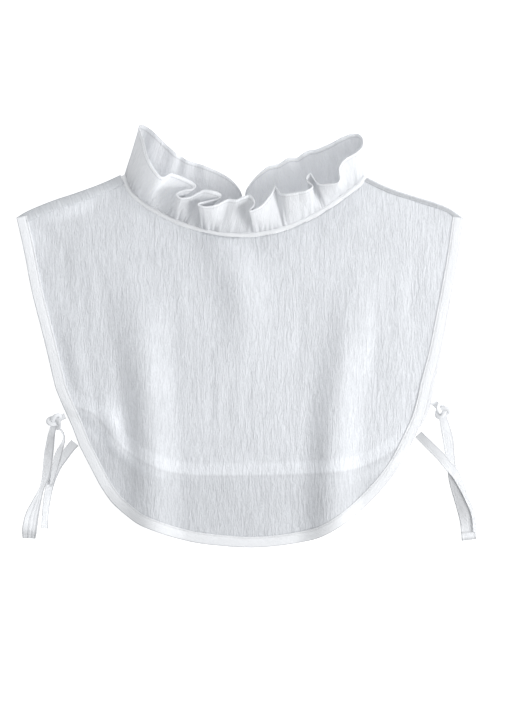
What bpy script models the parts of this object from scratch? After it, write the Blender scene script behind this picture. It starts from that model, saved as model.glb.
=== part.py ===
"""Ruffle collar with a front and a back bib, in crinkled white cotton, laid flat.

The garment lies on its back on the surface z = 0. +X is the garment's right side as seen
from above, +Y runs from the hem to the collar and +Z points up, out of the surface.
The back bib rests on the surface, the front bib lies on it, and the gathered ruffle
stands up and leans back round the neck. Tables are in millimetres, the model in metres.
"""
import math

import bpy
from mathutils import Vector
from mathutils.geometry import delaunay_2d_cdt

MM = 0.001

# Cloth walls, and the gaps that keep neighbouring pieces apart, in mm
PANEL_WALL = 1.2
BAND_WALL = 2.0
NECK_BAND_WALL = 1.6
RUFFLE_WALL = 1.0
TIE_WALL = 1.5
GAP = 0.3
BINDING_GAP = 0.4
BINDING_WIDTH = 9.5
NECK_BAND_WIDTH = 4.6
# Points that a smooth curve gets between two of its table's points
EDGE_STEPS = 6
SHOULDER_STEPS = 4
TIE_STEPS = 3
# Points along each binding, and strips across it
FRONT_BINDING_POINTS = 113
BACK_BINDING_POINTS = 97
FRONT_BINDING_STRIPS = 3
BACK_BINDING_STRIPS = 1
# Size of the bibs' triangles, and the least distance between their points as a share of it
FRONT_TRIANGLE = 12.5
BACK_TRIANGLE = 30.0
LEAST_SHARE = 0.62
# How far a bib's edges stop short of each other where they meet: along x, along y, at the neck
CORNER_X = 2.0
CORNER_Y = 3.0
CORNER_NECK = 1.0
# The neck's middle stretch, which lies below the shoulders anyway
NECK_MIDDLE = 60.0
# Height of the front bib's underside where the back bib lies under it
LIFT = 2.6
# The front bib keeps that height this far past the back hem, then comes down to the surface
STEP_FLAT = 4.0
STEP_FALL = 9.0
# Rows of points along that step, by their distance past the back hem
STEP_ROWS = (-4.0, 2.0, 6.0, 9.5, 13.5)
# Those rows lie lower than this, and keep clear of the bib's edge and of the binding
STEP_TOP = -50.0
EDGE_ROOM = 4.0
BINDING_ROOM = 2.0
EDGE_WINDOW = 8.0
# Middle heights of the neck band's back and front runs
BACK_NECK_Z = NECK_BAND_WALL / 2
FRONT_NECK_Z = LIFT + NECK_BAND_WALL / 2

# Outer edge of the bound front bib, from the left shoulder round the hem: x, y
FRONT_EDGE = [
    (-193.0, 102.0), (-186.5, 73.0), (-181.0, 44.0), (-175.5, 21.0), (-170.0, 0.0),
    (-165.0, -21.0), (-160.0, -42.0), (-156.5, -52.0), (-150.5, -66.0), (-145.0, -78.5),
    (-139.0, -94.0), (-132.5, -107.0), (-124.5, -122.5), (-119.5, -131.5), (-110.5, -144.0),
    (-100.0, -153.5), (-90.0, -161.0), (-79.5, -166.0), (-58.5, -173.5), (-38.0, -178.5),
    (-17.5, -181.0), (3.5, -182.5), (24.0, -182.0), (45.0, -179.5), (64.0, -175.5),
    (76.0, -170.5), (86.5, -164.5), (97.0, -157.0), (107.0, -148.5), (117.5, -138.0),
    (128.0, -126.0), (138.0, -112.0), (148.5, -92.0), (157.0, -73.5), (162.0, -57.0),
    (165.5, -41.0), (171.0, -20.5), (175.5, 0.0), (179.5, 21.0), (183.5, 41.5),
    (189.0, 73.0), (193.0, 102.0),
]
# Outer edge of the bound back bib, which is shorter: x, y
BACK_EDGE = [
    (-193.0, 102.0), (-187.0, 80.5), (-177.5, 33.0), (-168.5, -4.0), (-160.0, -32.0),
    (-153.0, -48.0), (-145.0, -58.5), (-134.5, -62.5), (-124.5, -67.5), (-115.0, -77.5),
    (-105.5, -90.5), (-94.0, -100.5), (-78.5, -109.5), (-60.5, -116.5), (-34.5, -119.5),
    (13.0, -119.5), (60.5, -118.0), (90.5, -115.5), (105.5, -112.0), (122.0, -104.5),
    (136.5, -95.0), (149.5, -84.5), (158.5, -74.5), (163.5, -63.0), (167.0, -48.0),
    (172.5, -20.5), (181.5, 28.0), (188.5, 75.5), (193.0, 102.0),
]
# The line where the shoulders are folded over, outer corner first: x, y
LEFT_SHOULDER = [(-193.0, 102.0), (-183.0, 108.0), (-162.5, 116.5), (-141.5, 123.5),
                 (-121.0, 131.0), (-103.0, 139.0)]
RIGHT_SHOULDER = [(193.0, 102.0), (181.5, 110.0), (169.5, 115.0), (148.5, 121.5),
                  (128.0, 128.5), (109.0, 137.5)]
# How far the back bib's cloth turns over onto the front at each shoulder
LEFT_TURN = 7.0
RIGHT_TURN = 3.6
# The stretch of each shoulder that is turned, as shares of its length, and its points
TURN_START = 0.13
TURN_END = 0.94
SHOULDER_POINTS = 9
FOLD_STEPS = 5
SHOULDER_PARTS = 60

# The line where the ruffle is sewn on: centre back to the left neck point, along the
# front to the right neck point, and back to the centre: x, y
NECK_BACK_LEFT = [(0.5, 105.5), (-15.5, 106.0), (-32.0, 107.5), (-49.0, 110.5),
                  (-65.0, 115.0), (-77.5, 120.5), (-88.0, 128.0), (-98.5, 139.0)]
NECK_FRONT = [(-98.5, 139.0), (-95.0, 129.5), (-88.0, 121.0), (-77.5, 113.5), (-64.0, 106.0),
              (-48.5, 99.0), (-31.0, 93.5), (-14.0, 90.0), (2.5, 89.5), (19.0, 91.0),
              (34.5, 94.5), (52.0, 101.0), (67.5, 109.0), (82.0, 118.5), (95.0, 128.0),
              (101.5, 133.0), (105.5, 139.0)]
NECK_BACK_RIGHT = [(105.5, 139.0), (95.0, 128.0), (84.5, 121.0), (69.0, 114.0), (52.0, 109.0),
                   (33.0, 106.5), (17.5, 105.5), (5.5, 105.5)]
# The neck line turns from the back to the front in a small half circle, this share of a run
TURN_SHARE = 0.012
TURN_STEPS = 5
BACK_NECK_POINTS = 34
FRONT_NECK_POINTS = 60
OPENING_X = 3.0
OPENING_HALF_WIDTH = 1.2
OPENING_LENGTH = 90.0

# One row for each stretch of the ruffle's free edge: seam, z, x, y.
# Seam counts along the neck line: 0 to 1 left back, 1 to 2 front, 2 to 3 right back.
RUFFLE_FOLDS = [
    (0.028, 2.5, -0.5, 109.5), (0.036, 3.5, 1.2, 115.0), (0.050, 5, 1.8, 121.0),
    (0.072, 6, 0.0, 126.0), (0.115, 7, -4.0, 131.5), (0.175, 9, -9.5, 136.5),
    (0.250, 8, -19.0, 142.0), (0.330, 10, -29.5, 146.5), (0.420, 8, -37.0, 149.0),
    (0.500, 10, -45.0, 151.5), (0.580, 8, -50.5, 155.0), (0.650, 11, -55.5, 158.0), (0.760, 8, -64.0, 166.0),
    (0.860, 9, -71.5, 173.5), (0.940, 5, -78.5, 179.5), (0.980, 5, -83.0, 182.0),
    (1.000, 8, -86.0, 182.0), (1.015, 13, -86.5, 178.0), (1.040, 21, -83.0, 169.0),
    (1.075, 33, -79.0, 154.0), (1.110, 38, -72.5, 142.0), (1.138, 38, -65.5, 135.5),
    (1.164, 34, -58.0, 139.0), (1.192, 33, -46.5, 135.0), (1.208, 34, -38.5, 130.5),
    (1.217, 36, -38.5, 126.5), (1.229, 36, -46.5, 125.0), (1.242, 36, -53.5, 122.5),
    (1.258, 37, -51.0, 118.5), (1.278, 36, -42.5, 119.0), (1.298, 33, -30.5, 125.0),
    (1.314, 34, -22.5, 124.0), (1.326, 33, -16.0, 121.5), (1.335, 34, -18.0, 118.0),
    (1.346, 37, -27.0, 115.5), (1.358, 40, -36.0, 113.0), (1.373, 41, -30.0, 110.5),
    (1.394, 41, -20.0, 112.0), (1.418, 37, -10.0, 117.0), (1.446, 38, -3.0, 116.5),
    (1.476, 37, 4.0, 119.5), (1.502, 37, 9.5, 120.0), (1.524, 40, 12.5, 113.5),
    (1.545, 43, 8.0, 107.0), (1.578, 41, 18.0, 111.0), (1.612, 35, 26.5, 121.5),
    (1.638, 31, 30.0, 128.0),
    (1.657, 34, 33.5, 123.0), (1.680, 38, 39.5, 121.5), (1.720, 39, 50.0, 123.0),
    (1.750, 40, 57.0, 124.5), (1.770, 38, 62.0, 128.5), (1.784, 36, 56.5, 134.0),
    (1.797, 34, 60.0, 139.0), (1.815, 40, 66.0, 130.5), (1.845, 43, 75.0, 129.5),
    (1.880, 43, 84.5, 132.0), (1.905, 40, 84.5, 143.5), (1.930, 36, 90.0, 151.5),
    (1.955, 31, 100.0, 157.5), (1.980, 25, 105.0, 163.5), (2.000, 18, 105.5, 169.5),
    (2.030, 12, 102.0, 174.0), (2.080, 10, 95.0, 174.0), (2.150, 10, 87.0, 171.0),
    (2.210, 8, 80.5, 167.5), (2.270, 10, 74.5, 164.5), (2.330, 8, 65.5, 161.0),
    (2.390, 11, 59.5, 160.0), (2.430, 12, 54.5, 157.5), (2.480, 8, 49.0, 154.0),
    (2.540, 11, 41.5, 153.5), (2.635, 8, 33.0, 148.5), (2.740, 10, 24.0, 146.0),
    (2.860, 7, 14.5, 138.5), (2.915, 6, 9.0, 132.0), (2.938, 5, 5.5, 126.5),
    (2.955, 4.5, 4.2, 121.0), (2.967, 3.5, 4.8, 115.0), (2.975, 2.5, 6.5, 109.5),
]
RUFFLE_ROWS = 5
RUFFLE_SET_BACK = 0.8
RUFFLE_STEPS = 3
# Free edges higher than this stand, and do so fully after the rise
LYING_HEIGHT = 8.0
STANDING_RISE = 20.0
# How much later a standing strip leans out, and how much sooner it rises
LATE_LEAN = 0.35
EARLY_RISE = 0.5

# Soft folds pressed up in the front bib, each a crest from its top down: x, y, height, half width
FRONT_FOLDS = [
    [(-96, 70, 0, 30), (-89, 27, 3.8, 32), (-84.5, -8, 7.0, 29), (-80, -42, 8.8, 26),
     (-77.5, -77, 9.2, 26), (-76, -128, 8.0, 29), (-76, -185, 7.6, 30)],
    [(106, 66, 0, 30), (99, 27, 3.2, 32), (92.5, -8, 6.2, 29), (85.5, -42, 8.0, 27),
     (82, -77, 8.6, 27), (79.5, -128, 8.0, 29), (77, -185, 7.6, 30)],
    [(-24, 92, 0, 24), (-17, 79, 3.0, 28), (-8, 61, 5.2, 30), (-1, 44, 5.8, 30), (2, 20, 4.6, 28),
     (4, -8, 2.0, 26), (5, -35, 0, 24)],
    [(-118, -40, 0, 11), (-113, -66, 2.8, 12), (-106, -92, 2.4, 12), (-99, -116, 0, 11)],
    [(-146, 20, 0, 12), (-141, -22, 2.2, 12), (-134, -58, 0, 10)],
]
# Points between two rows of a fold's crest
CREST_STEPS = 4

# The four ties, from the binding to the free end: x, y, underside z, width
TIES = {
    "tie_front_left": [
        (-142.4, -92.0, 0, 8), (-147, -97.5, 0, 8), (-152, -104.5, 0, 8), (-158, -113.5, 0, 7.5),
        (-163.5, -127, 0, 7), (-166.5, -141.5, 0, 6.5), (-168, -154.5, 0, 6), (-168.5, -166, 0, 6)],
    "tie_back_left": [
        (-161.3, -79.2, 1.0, 5), (-163, -87, 0.2, 7), (-164, -95, 0, 8), (-164.8, -100, 0.7, 8.5),
        (-165.5, -107, 1.9, 8.5), (-167.5, -121, 1.9, 7), (-171, -131, 1.9, 5),
        (-175.5, -143, 0.6, 8), (-179.5, -155, 0, 11), (-181.5, -166, 0, 12), (-182, -174.5, 0, 11)],
    "tie_front_right": [
        (154.0, -84.5, 0.8, 8), (159, -89.5, 1.2, 8), (165, -95.5, 1.9, 8), (173.5, -104, 1.9, 8),
        (180, -112, 1.9, 8), (186.5, -122, 1.9, 6), (191, -134, 1.9, 4.5),
        (195, -147, 1.9, 3.5), (198, -159, 1.9, 3.5), (198.5, -170, 1.9, 4)],
    "tie_back_right": [
        (175.2, -69.0, 0.3, 5), (177.5, -79, 0, 8.5), (180, -90, 0, 9), (181.5, -103.5, 0, 8.5),
        (183, -116, 0, 7.5), (186.5, -133, 0, 9), (191, -148.5, 0, 10), (194.5, -160.5, 0, 10),
        (196, -171.5, 0, 10)],
}
# The short end of each back tie between its binding and its knot: x, y, underside z, width
TIE_ROOTS = {
    "tie_root_left": [(-150.9, -68.7, 0.2, 5), (-152.4, -69.6, 0.4, 5), (-154.0, -70.5, 0.6, 5)],
    "tie_root_right": [(167.0, -56.5, 0.0, 6), (168.8, -58.2, 0.3, 5.5), (170.3, -60.1, 0.6, 5)],
}
# Knots: centre x, y, width, turn about z in degrees
KNOTS = {
    "knot_left": (-159.5, -73.5, 12.0, 25.0),
    "knot_right": (174.5, -64.5, 12.0, -40.0),
}
# Half the thickness of the knotted cord, and how far its strands rise and dip to cross
KNOT_WALL = 0.8
KNOT_RISE = 1.55
KNOT_POINTS = 42
# A trefoil's largest reach from its middle
TREFOIL_REACH = 3.0

COTTON_COLOURS = {
    "panel": (0.80, 0.82, 0.85),
    "binding": (0.88, 0.89, 0.91),
    "ruffle": (0.85, 0.87, 0.90),
    "tie": (0.84, 0.86, 0.89),
}


def clear_scene():
    for thing in list(bpy.data.objects):
        bpy.data.objects.remove(thing, do_unlink=True)


def cotton(name, colour):
    """Plain matt cotton in one colour."""
    material = bpy.data.materials.new(name)
    material.use_nodes = True
    shader = material.node_tree.nodes["Principled BSDF"]
    shader.inputs["Base Color"].default_value = (*colour, 1.0)
    shader.inputs["Roughness"].default_value = 0.9
    shader.inputs["Metallic"].default_value = 0.0
    return material


def catmull_rom(before, start, end, after, share):
    """A point between start and end on a smooth curve through all four."""
    square = share * share
    cube = square * share
    return tuple(
        0.5 * (2 * b + (c - a) * share + (2 * a - 5 * b + 4 * c - d) * square
               + (3 * b - a - 3 * c + d) * cube)
        for a, b, c, d in zip(before, start, end, after))


def smooth_line(points, steps):
    """The points with steps - 1 more between each two, all on one smooth curve."""
    line = []
    last = len(points) - 1
    for index in range(last):
        before = points[max(index - 1, 0)]
        after = points[min(index + 2, last)]
        for step in range(steps):
            line.append(catmull_rom(before, points[index], points[index + 1], after, step / steps))
    line.append(tuple(points[last]))
    return line


def spread(line, count):
    """The same flat line with its points spread evenly along it."""
    marks = [0.0]
    for start, end in zip(line, line[1:]):
        marks.append(marks[-1] + math.dist(start, end))
    result = []
    index = 0
    for number in range(count):
        mark = marks[-1] * number / (count - 1)
        while index < len(line) - 2 and marks[index + 1] < mark:
            index += 1
        share = (mark - marks[index]) / (marks[index + 1] - marks[index])
        result.append(tuple(a + (b - a) * share for a, b in zip(line[index], line[index + 1])))
    return result


def side_vectors(line):
    """For each point, the flat unit vector to the left of the line's direction."""
    vectors = []
    for index in range(len(line)):
        start = line[max(index - 1, 0)]
        end = line[min(index + 1, len(line) - 1)]
        along = Vector((end[0] - start[0], end[1] - start[1])).normalized()
        vectors.append((-along.y, along.x))
    return vectors


def moved_aside(line, distance):
    """The flat line moved to its left by distance."""
    return [(point[0] + side[0] * distance, point[1] + side[1] * distance)
            for point, side in zip(line, side_vectors(line))]


FRONT_LINE = spread(smooth_line(FRONT_EDGE, EDGE_STEPS), FRONT_BINDING_POINTS)
BACK_LINE = spread(smooth_line(BACK_EDGE, EDGE_STEPS), BACK_BINDING_POINTS)


def ease(share):
    """0 at 0 and 1 at 1, level at both ends."""
    share = min(max(share, 0.0), 1.0)
    return share * share * (3 - 2 * share)


def distance_past_back(x, y):
    """How far a place lies outside the back bib's edge, or 0 where it lies on it."""
    inside = False
    nearest = float("inf")
    closed = BACK_LINE + [(193.0, 300.0), (-193.0, 300.0), BACK_LINE[0]]
    for (x0, y0), (x1, y1) in zip(closed, closed[1:]):
        if (y0 > y) != (y1 > y) and x < x0 + (x1 - x0) * (y - y0) / (y1 - y0):
            inside = not inside
        length = (x1 - x0) ** 2 + (y1 - y0) ** 2
        share = ((x - x0) * (x1 - x0) + (y - y0) * (y1 - y0)) / length
        share = min(max(share, 0.0), 1.0)
        nearest = min(nearest, math.hypot(x0 + (x1 - x0) * share - x, y0 + (y1 - y0) * share - y))
    return 0.0 if inside else nearest


FRONT_CRESTS = [smooth_line(rows, CREST_STEPS) for rows in FRONT_FOLDS]


def fold_height(x, y):
    """How far the soft folds lift the front bib."""
    height = 0.0
    for crest in FRONT_CRESTS:
        for (x0, y0, rise0, width0), (x1, y1, rise1, width1) in zip(crest, crest[1:]):
            if not y1 <= y < y0:
                continue
            share = (y0 - y) / (y0 - y1)
            away = abs(x - x0 - (x1 - x0) * share)
            half_width = width0 + (width1 - width0) * share
            if away < half_width:
                rise = rise0 + (rise1 - rise0) * share
                height += rise * (0.5 + 0.5 * math.cos(math.pi * away / half_width))
    return height


def front_underside(x, y):
    """Height of the front bib's underside above the surface."""
    past = distance_past_back(x, y)
    return LIFT * (1 - ease((past - STEP_FLAT) / STEP_FALL)) + fold_height(x, y)


def new_object(name, points, faces, material, collection):
    """An object from points in millimetres, with all its faces turned the same way."""
    mesh = bpy.data.meshes.new(name)
    mesh.from_pydata([(x * MM, y * MM, z * MM) for x, y, z in points], [], faces)
    mesh.update()
    mesh.shade_smooth()
    mesh.materials.append(material)
    piece = bpy.data.objects.new(name, mesh)
    collection.objects.link(piece)
    return piece


def add_wall(piece, thickness):
    """Gives a sheet of middle points its cloth's thickness, half to each side."""
    wall = piece.modifiers.new("cloth wall", "SOLIDIFY")
    wall.thickness = thickness * MM
    wall.offset = 0.0
    wall.use_even_offset = False
    return wall


def sheet_from_rows(name, rows, wall, material, collection):
    """A cloth wall through rows of middle points that all have the same count."""
    width = len(rows[0])
    points = [point for row in rows for point in row]
    faces = []
    for row in range(len(rows) - 1):
        for column in range(width - 1):
            corner = row * width + column
            faces.append((corner, corner + width, corner + width + 1, corner + 1))
    piece = new_object(name, points, faces, material, collection)
    add_wall(piece, wall)
    return piece


def binding(name, line, underside, strips, material, collection):
    """The bias binding along an outer edge, lying on the heights that underside gives."""
    rows = []
    for share in range(strips + 1):
        moved = moved_aside(line, BINDING_WIDTH * share / strips)
        rows.append([(x, y, underside(x, y) + BAND_WALL / 2) for x, y in moved])
    return sheet_from_rows(name, rows[::-1], BAND_WALL, material, collection)


def neck_line():
    """Neck line as rows of seam count, x, y, z and the flat vector towards the bibs."""
    runs = [
        (0.0, spread(smooth_line(NECK_BACK_LEFT, EDGE_STEPS), BACK_NECK_POINTS), BACK_NECK_Z, 1.0),
        (1.0, spread(smooth_line(NECK_FRONT, EDGE_STEPS), FRONT_NECK_POINTS), FRONT_NECK_Z, -1.0),
        (2.0, spread(smooth_line(NECK_BACK_RIGHT, EDGE_STEPS), BACK_NECK_POINTS), BACK_NECK_Z, 1.0),
    ]
    rows = []
    for seam_start, line, height, turn in runs:
        for index, (point, side) in enumerate(zip(line, side_vectors(line))):
            seam = seam_start + index / (len(line) - 1)
            rows.append([seam, point[0], point[1], height, side[0] * turn, side[1] * turn])
    return rows


def turn_points(row_before, row_after, outward, count):
    """The half circle by which the neck line turns between its back and front runs."""
    radius = abs(row_after[3] - row_before[3]) / 2
    middle = [(a + b) / 2 for a, b in zip(row_before, row_after)]
    side = Vector((middle[4], middle[5])).normalized()
    rows = []
    for step in range(1, count):
        angle = math.pi * step / count
        height = row_before[3] + (row_after[3] - row_before[3]) * (1 - math.cos(angle)) / 2
        reach = radius * math.sin(angle)
        seam = middle[0] + TURN_SHARE * (2 * step / count - 1)
        rows.append([seam, middle[1] + outward[0] * reach, middle[2] + outward[1] * reach,
                     height, side.x, side.y])
    return rows


def whole_neck_line():
    """The neck line with both turns, from centre back round the front to centre back."""
    rows = neck_line()
    whole = []
    for index, row in enumerate(rows):
        follower = rows[index + 1] if index + 1 < len(rows) else None
        if follower and follower[3] != row[3]:
            side = Vector((row[4] + follower[4], row[5] + follower[5])).normalized()
            outward = (side.y, -side.x) if side.x < 0 else (-side.y, side.x)
            row[0] -= TURN_SHARE
            follower[0] += TURN_SHARE
            row[4:] = follower[4:] = side
            whole.append(row)
            whole.extend(turn_points(row, follower, outward, TURN_STEPS))
        else:
            whole.append(row)
    return whole


def neck_at(whole, seam):
    """Place and bibward vector on the neck line at a seam count."""
    for start, end in zip(whole, whole[1:]):
        if start[0] <= seam <= end[0]:
            share = (seam - start[0]) / (end[0] - start[0])
            return [a + (b - a) * share for a, b in zip(start[1:], end[1:])]
    return whole[-1][1:] if seam > whole[-1][0] else whole[0][1:]


def neck_band(whole, material, collection):
    """The narrow band that holds the gathers, from centre back round to centre back."""
    rows = []
    for offset in (GAP / 2, GAP / 2 + NECK_BAND_WIDTH):
        rows.append([(x + side_x * offset, y + side_y * offset, z)
                     for seam, x, y, z, side_x, side_y in whole])
    return sheet_from_rows("neck_band", rows, NECK_BAND_WALL, material, collection)


def ruffle(whole, material, collection):
    """The gathered ruffle: a strip from the neck line to its folded free edge."""
    edge = smooth_line(RUFFLE_FOLDS, RUFFLE_STEPS)
    rows = [[] for row in range(RUFFLE_ROWS + 1)]
    for seam, edge_z, edge_x, edge_y in edge:
        base_x, base_y, base_z, side_x, side_y = neck_at(whole, seam)
        base_x -= side_x * RUFFLE_SET_BACK
        base_y -= side_y * RUFFLE_SET_BACK
        standing = ease((edge_z - LYING_HEIGHT) / STANDING_RISE)
        for row in range(RUFFLE_ROWS + 1):
            share = row / RUFFLE_ROWS
            lean = share ** (1 + LATE_LEAN * standing)
            rise = 1 - (1 - share) ** (1 + EARLY_RISE * standing)
            rows[row].append((base_x + (edge_x - base_x) * lean,
                              base_y + (edge_y - base_y) * lean,
                              base_z + (edge_z - base_z) * rise))
    return sheet_from_rows("ruffle", rows, RUFFLE_WALL, material, collection)


def grid_inside(low, high, spacing):
    """Staggered grid places between two corners."""
    places = []
    step_y = spacing * math.sqrt(3) / 2
    for row in range(int((high[1] - low[1]) / step_y) + 1):
        shift = spacing / 2 if row % 2 else 0.0
        for column in range(int((high[0] - low[0]) / spacing) + 1):
            places.append((low[0] + shift + column * spacing, low[1] + row * step_y))
    return places


def clear_of(place, others, distance):
    return all(math.dist(place, other) > distance for other in others)


def flat_triangles(border, extra, spacing):
    """Triangles of a flat outline, with extra points inside it and a grid between them."""
    low = (min(x for x, y in border), min(y for x, y in border))
    high = (max(x for x, y in border), max(y for x, y in border))
    fixed = border + extra
    grid = [place for place in grid_inside(low, high, spacing)
            if clear_of(place, fixed, spacing * LEAST_SHARE)]
    points = [Vector(place) for place in fixed + grid]
    outline = list(range(len(border)))
    result = delaunay_2d_cdt(points, [], [outline], 1, 0.001)
    used = sorted({corner for face in result[2] for corner in face})
    number = {corner: index for index, corner in enumerate(used)}
    places = [(result[0][corner].x, result[0][corner].y) for corner in used]
    faces = []
    for face in result[2]:
        a, b, c = (places[number[corner]] for corner in face)
        turn = (b[0] - a[0]) * (c[1] - a[1]) - (b[1] - a[1]) * (c[0] - a[0])
        corners = tuple(number[corner] for corner in face)
        faces.append(corners if turn > 0 else corners[::-1])
    return places, faces


def neck_side_of_bib(whole, first_seam, last_seam):
    """The bib's neck edge, beside the neck band, from one seam count to another."""
    offset = GAP * 1.5 + NECK_BAND_WIDTH
    return [(x + side_x * offset, y + side_y * offset)
            for seam, x, y, z, side_x, side_y in whole if first_seam <= seam <= last_seam]


def part_of(line, first, last):
    """The stretch of a shoulder line between two shares of its length."""
    even = spread(smooth_line(line, SHOULDER_STEPS), SHOULDER_PARTS + 1)
    return spread(even[round(first * SHOULDER_PARTS):round(last * SHOULDER_PARTS) + 1], SHOULDER_POINTS)


def front_bib(whole, material, collection):
    """The front bib inside its binding, the turned shoulders and the neck band."""
    inner = moved_aside(FRONT_LINE, BINDING_WIDTH + BINDING_GAP)
    left = moved_aside(part_of(LEFT_SHOULDER, 0.0, 1.0), -(LEFT_TURN + GAP))
    right = moved_aside(part_of(RIGHT_SHOULDER, 0.0, 1.0), RIGHT_TURN + GAP)
    neck = neck_side_of_bib(whole, 1.0 + TURN_SHARE, 2.0 - TURN_SHARE)
    left = [place for place in left if inner[1][0] + CORNER_X < place[0] < neck[0][0] - CORNER_X]
    right = [place for place in right if neck[-1][0] + CORNER_X < place[0] < inner[-2][0] - CORNER_X]
    neck = [place for place in neck if place[1] < min(left[-1][1], right[-1][1]) - CORNER_NECK
            or abs(place[0]) < NECK_MIDDLE]
    side = [place for place in inner if place[1] < min(left[0][1], right[0][1]) - CORNER_Y]
    border = side + right + neck[::-2] + left[::-1]
    step_lines = []
    for past in STEP_ROWS:
        step_lines += [place for place in moved_aside(BACK_LINE, -past)
                       if place[1] < STEP_TOP and clear_of(place, inner, EDGE_ROOM)
                       and clear_of(place, FRONT_LINE, BINDING_WIDTH + BINDING_ROOM)
                       and place[1] > min(y for x, y in inner if abs(x - place[0]) < EDGE_WINDOW)]
    places, faces = flat_triangles(border, step_lines, FRONT_TRIANGLE)
    points = [(x, y, front_underside(x, y) + PANEL_WALL / 2) for x, y in places]
    piece = new_object("front_panel", points, faces, material, collection)
    add_wall(piece, PANEL_WALL)
    return piece


def back_bib(whole, material, collection):
    """The back bib, open down its centre, with its cloth turned over at the shoulders."""
    inner = moved_aside(BACK_LINE, BINDING_WIDTH + BINDING_GAP)
    radius = LIFT / 2
    inset = radius + PANEL_WALL / 2
    left = moved_aside(part_of(LEFT_SHOULDER, TURN_START, TURN_END), -inset)
    right = moved_aside(part_of(RIGHT_SHOULDER, TURN_START, TURN_END), inset)
    side = [place for place in inner if place[1] < min(left[0][1], right[0][1]) - CORNER_Y]
    neck_left = neck_side_of_bib(whole, 0.0, 1.0 - TURN_SHARE)
    neck_right = neck_side_of_bib(whole, 2.0 + TURN_SHARE, 3.0)
    neck_left = [place for place in neck_left
                 if place[0] < OPENING_X - OPENING_HALF_WIDTH - CORNER_NECK]
    neck_right = [place for place in neck_right
                  if place[0] > OPENING_X + OPENING_HALF_WIDTH + CORNER_NECK]
    top = neck_left[0][1]
    left_side = OPENING_X - OPENING_HALF_WIDTH
    right_side = OPENING_X + OPENING_HALF_WIDTH
    low = top - OPENING_LENGTH
    opening = [(right_side, top), (right_side, low), (left_side, low), (left_side, top)]
    border = side + right + neck_right[1::3] + opening + neck_left[:-1:3] + left[::-1]
    places, faces = flat_triangles(border, [], BACK_TRIANGLE)
    points = [(x, y, PANEL_WALL / 2) for x, y in places]
    for shoulder, turn, sign in ((left, LEFT_TURN, 1), (right, RIGHT_TURN, -1)):
        outward = [(side_x * sign, side_y * sign) for side_x, side_y in side_vectors(shoulder)]
        rows = [[points.index((x, y, PANEL_WALL / 2)) for x, y in nearest_places(places, shoulder)]]
        for angle, back in turned_profile(radius, turn - inset):
            row = []
            for (x, y), (out_x, out_y) in zip(shoulder, outward):
                reach = radius * math.sin(angle) - back
                height = PANEL_WALL / 2 + radius * (1 - math.cos(angle))
                row.append(len(points))
                points.append((x + out_x * reach, y + out_y * reach, height))
            rows.append(row)
        for lower, upper in zip(rows, rows[1:]):
            for index in range(len(lower) - 1):
                face = (lower[index], lower[index + 1], upper[index + 1], upper[index])
                faces.append(face if sign > 0 else face[::-1])
    piece = new_object("back_panel", points, faces, material, collection)
    add_wall(piece, PANEL_WALL)
    return piece


def nearest_places(places, line):
    """For each point of the line, the same point as the triangles hold it."""
    return [min(places, key=lambda place: math.dist(place, point)) for point in line]


def turned_profile(radius, length):
    """Angle round the fold and distance back along the turned cloth, for each row."""
    arc = [(math.pi * step / FOLD_STEPS, 0.0) for step in range(1, FOLD_STEPS + 1)]
    return arc + [(math.pi, length * 0.5), (math.pi, length)]


def tie(name, rows, material, collection):
    """A narrow flat tie lying along its own line."""
    line = smooth_line(rows, TIE_STEPS)
    left = []
    right = []
    for (x, y, z, width), (side_x, side_y) in zip(line, side_vectors(line)):
        middle_z = max(z, 0.0) + TIE_WALL / 2
        left.append((x + side_x * width / 2, y + side_y * width / 2, middle_z))
        right.append((x - side_x * width / 2, y - side_y * width / 2, middle_z))
    return sheet_from_rows(name, [right, left][::-1], TIE_WALL, material, collection)


def knot(name, place, material, collection):
    """A small closed overhand knot, drawn as a round cord wound through itself."""
    centre_x, centre_y, width, turn = place
    curve = bpy.data.curves.new(name, "CURVE")
    curve.dimensions = "3D"
    curve.bevel_depth = KNOT_WALL * MM
    curve.bevel_resolution = 1
    curve.twist_mode = "Z_UP"
    path = curve.splines.new("POLY")
    path.points.add(KNOT_POINTS - 1)
    path.use_cyclic_u = True
    scale = (width / 2 - KNOT_WALL) / TREFOIL_REACH
    lie = math.radians(turn)
    for index in range(KNOT_POINTS):
        angle = 2 * math.pi * index / KNOT_POINTS
        flat_x = scale * (math.sin(angle) + 2 * math.sin(2 * angle))
        flat_y = scale * (math.cos(angle) - 2 * math.cos(2 * angle))
        x = centre_x + flat_x * math.cos(lie) - flat_y * math.sin(lie)
        y = centre_y + flat_x * math.sin(lie) + flat_y * math.cos(lie)
        z = KNOT_WALL + KNOT_RISE * (1 - math.sin(3 * angle))
        path.points[index].co = (x * MM, y * MM, z * MM, 1.0)
    piece = bpy.data.objects.new(name, curve)
    curve.materials.append(material)
    collection.objects.link(piece)
    return piece


def build():
    clear_scene()
    collection = bpy.data.collections.new("ruffle_collar")
    bpy.context.scene.collection.children.link(collection)
    finish = {name: cotton(name, colour) for name, colour in COTTON_COLOURS.items()}
    whole = whole_neck_line()
    front_bib(whole, finish["panel"], collection)
    back_bib(whole, finish["panel"].copy(), collection)
    binding("front_binding", FRONT_LINE, front_underside, FRONT_BINDING_STRIPS,
            finish["binding"], collection)
    binding("back_binding", BACK_LINE, lambda x, y: 0.0, BACK_BINDING_STRIPS,
            finish["binding"].copy(), collection)
    neck_band(whole, finish["binding"].copy(), collection)
    ruffle(whole, finish["ruffle"], collection)
    for name, rows in list(TIES.items()) + list(TIE_ROOTS.items()):
        tie(name, rows, finish["tie"].copy(), collection)
    for name, place in KNOTS.items():
        knot(name, place, finish["tie"].copy(), collection)


build()
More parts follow.
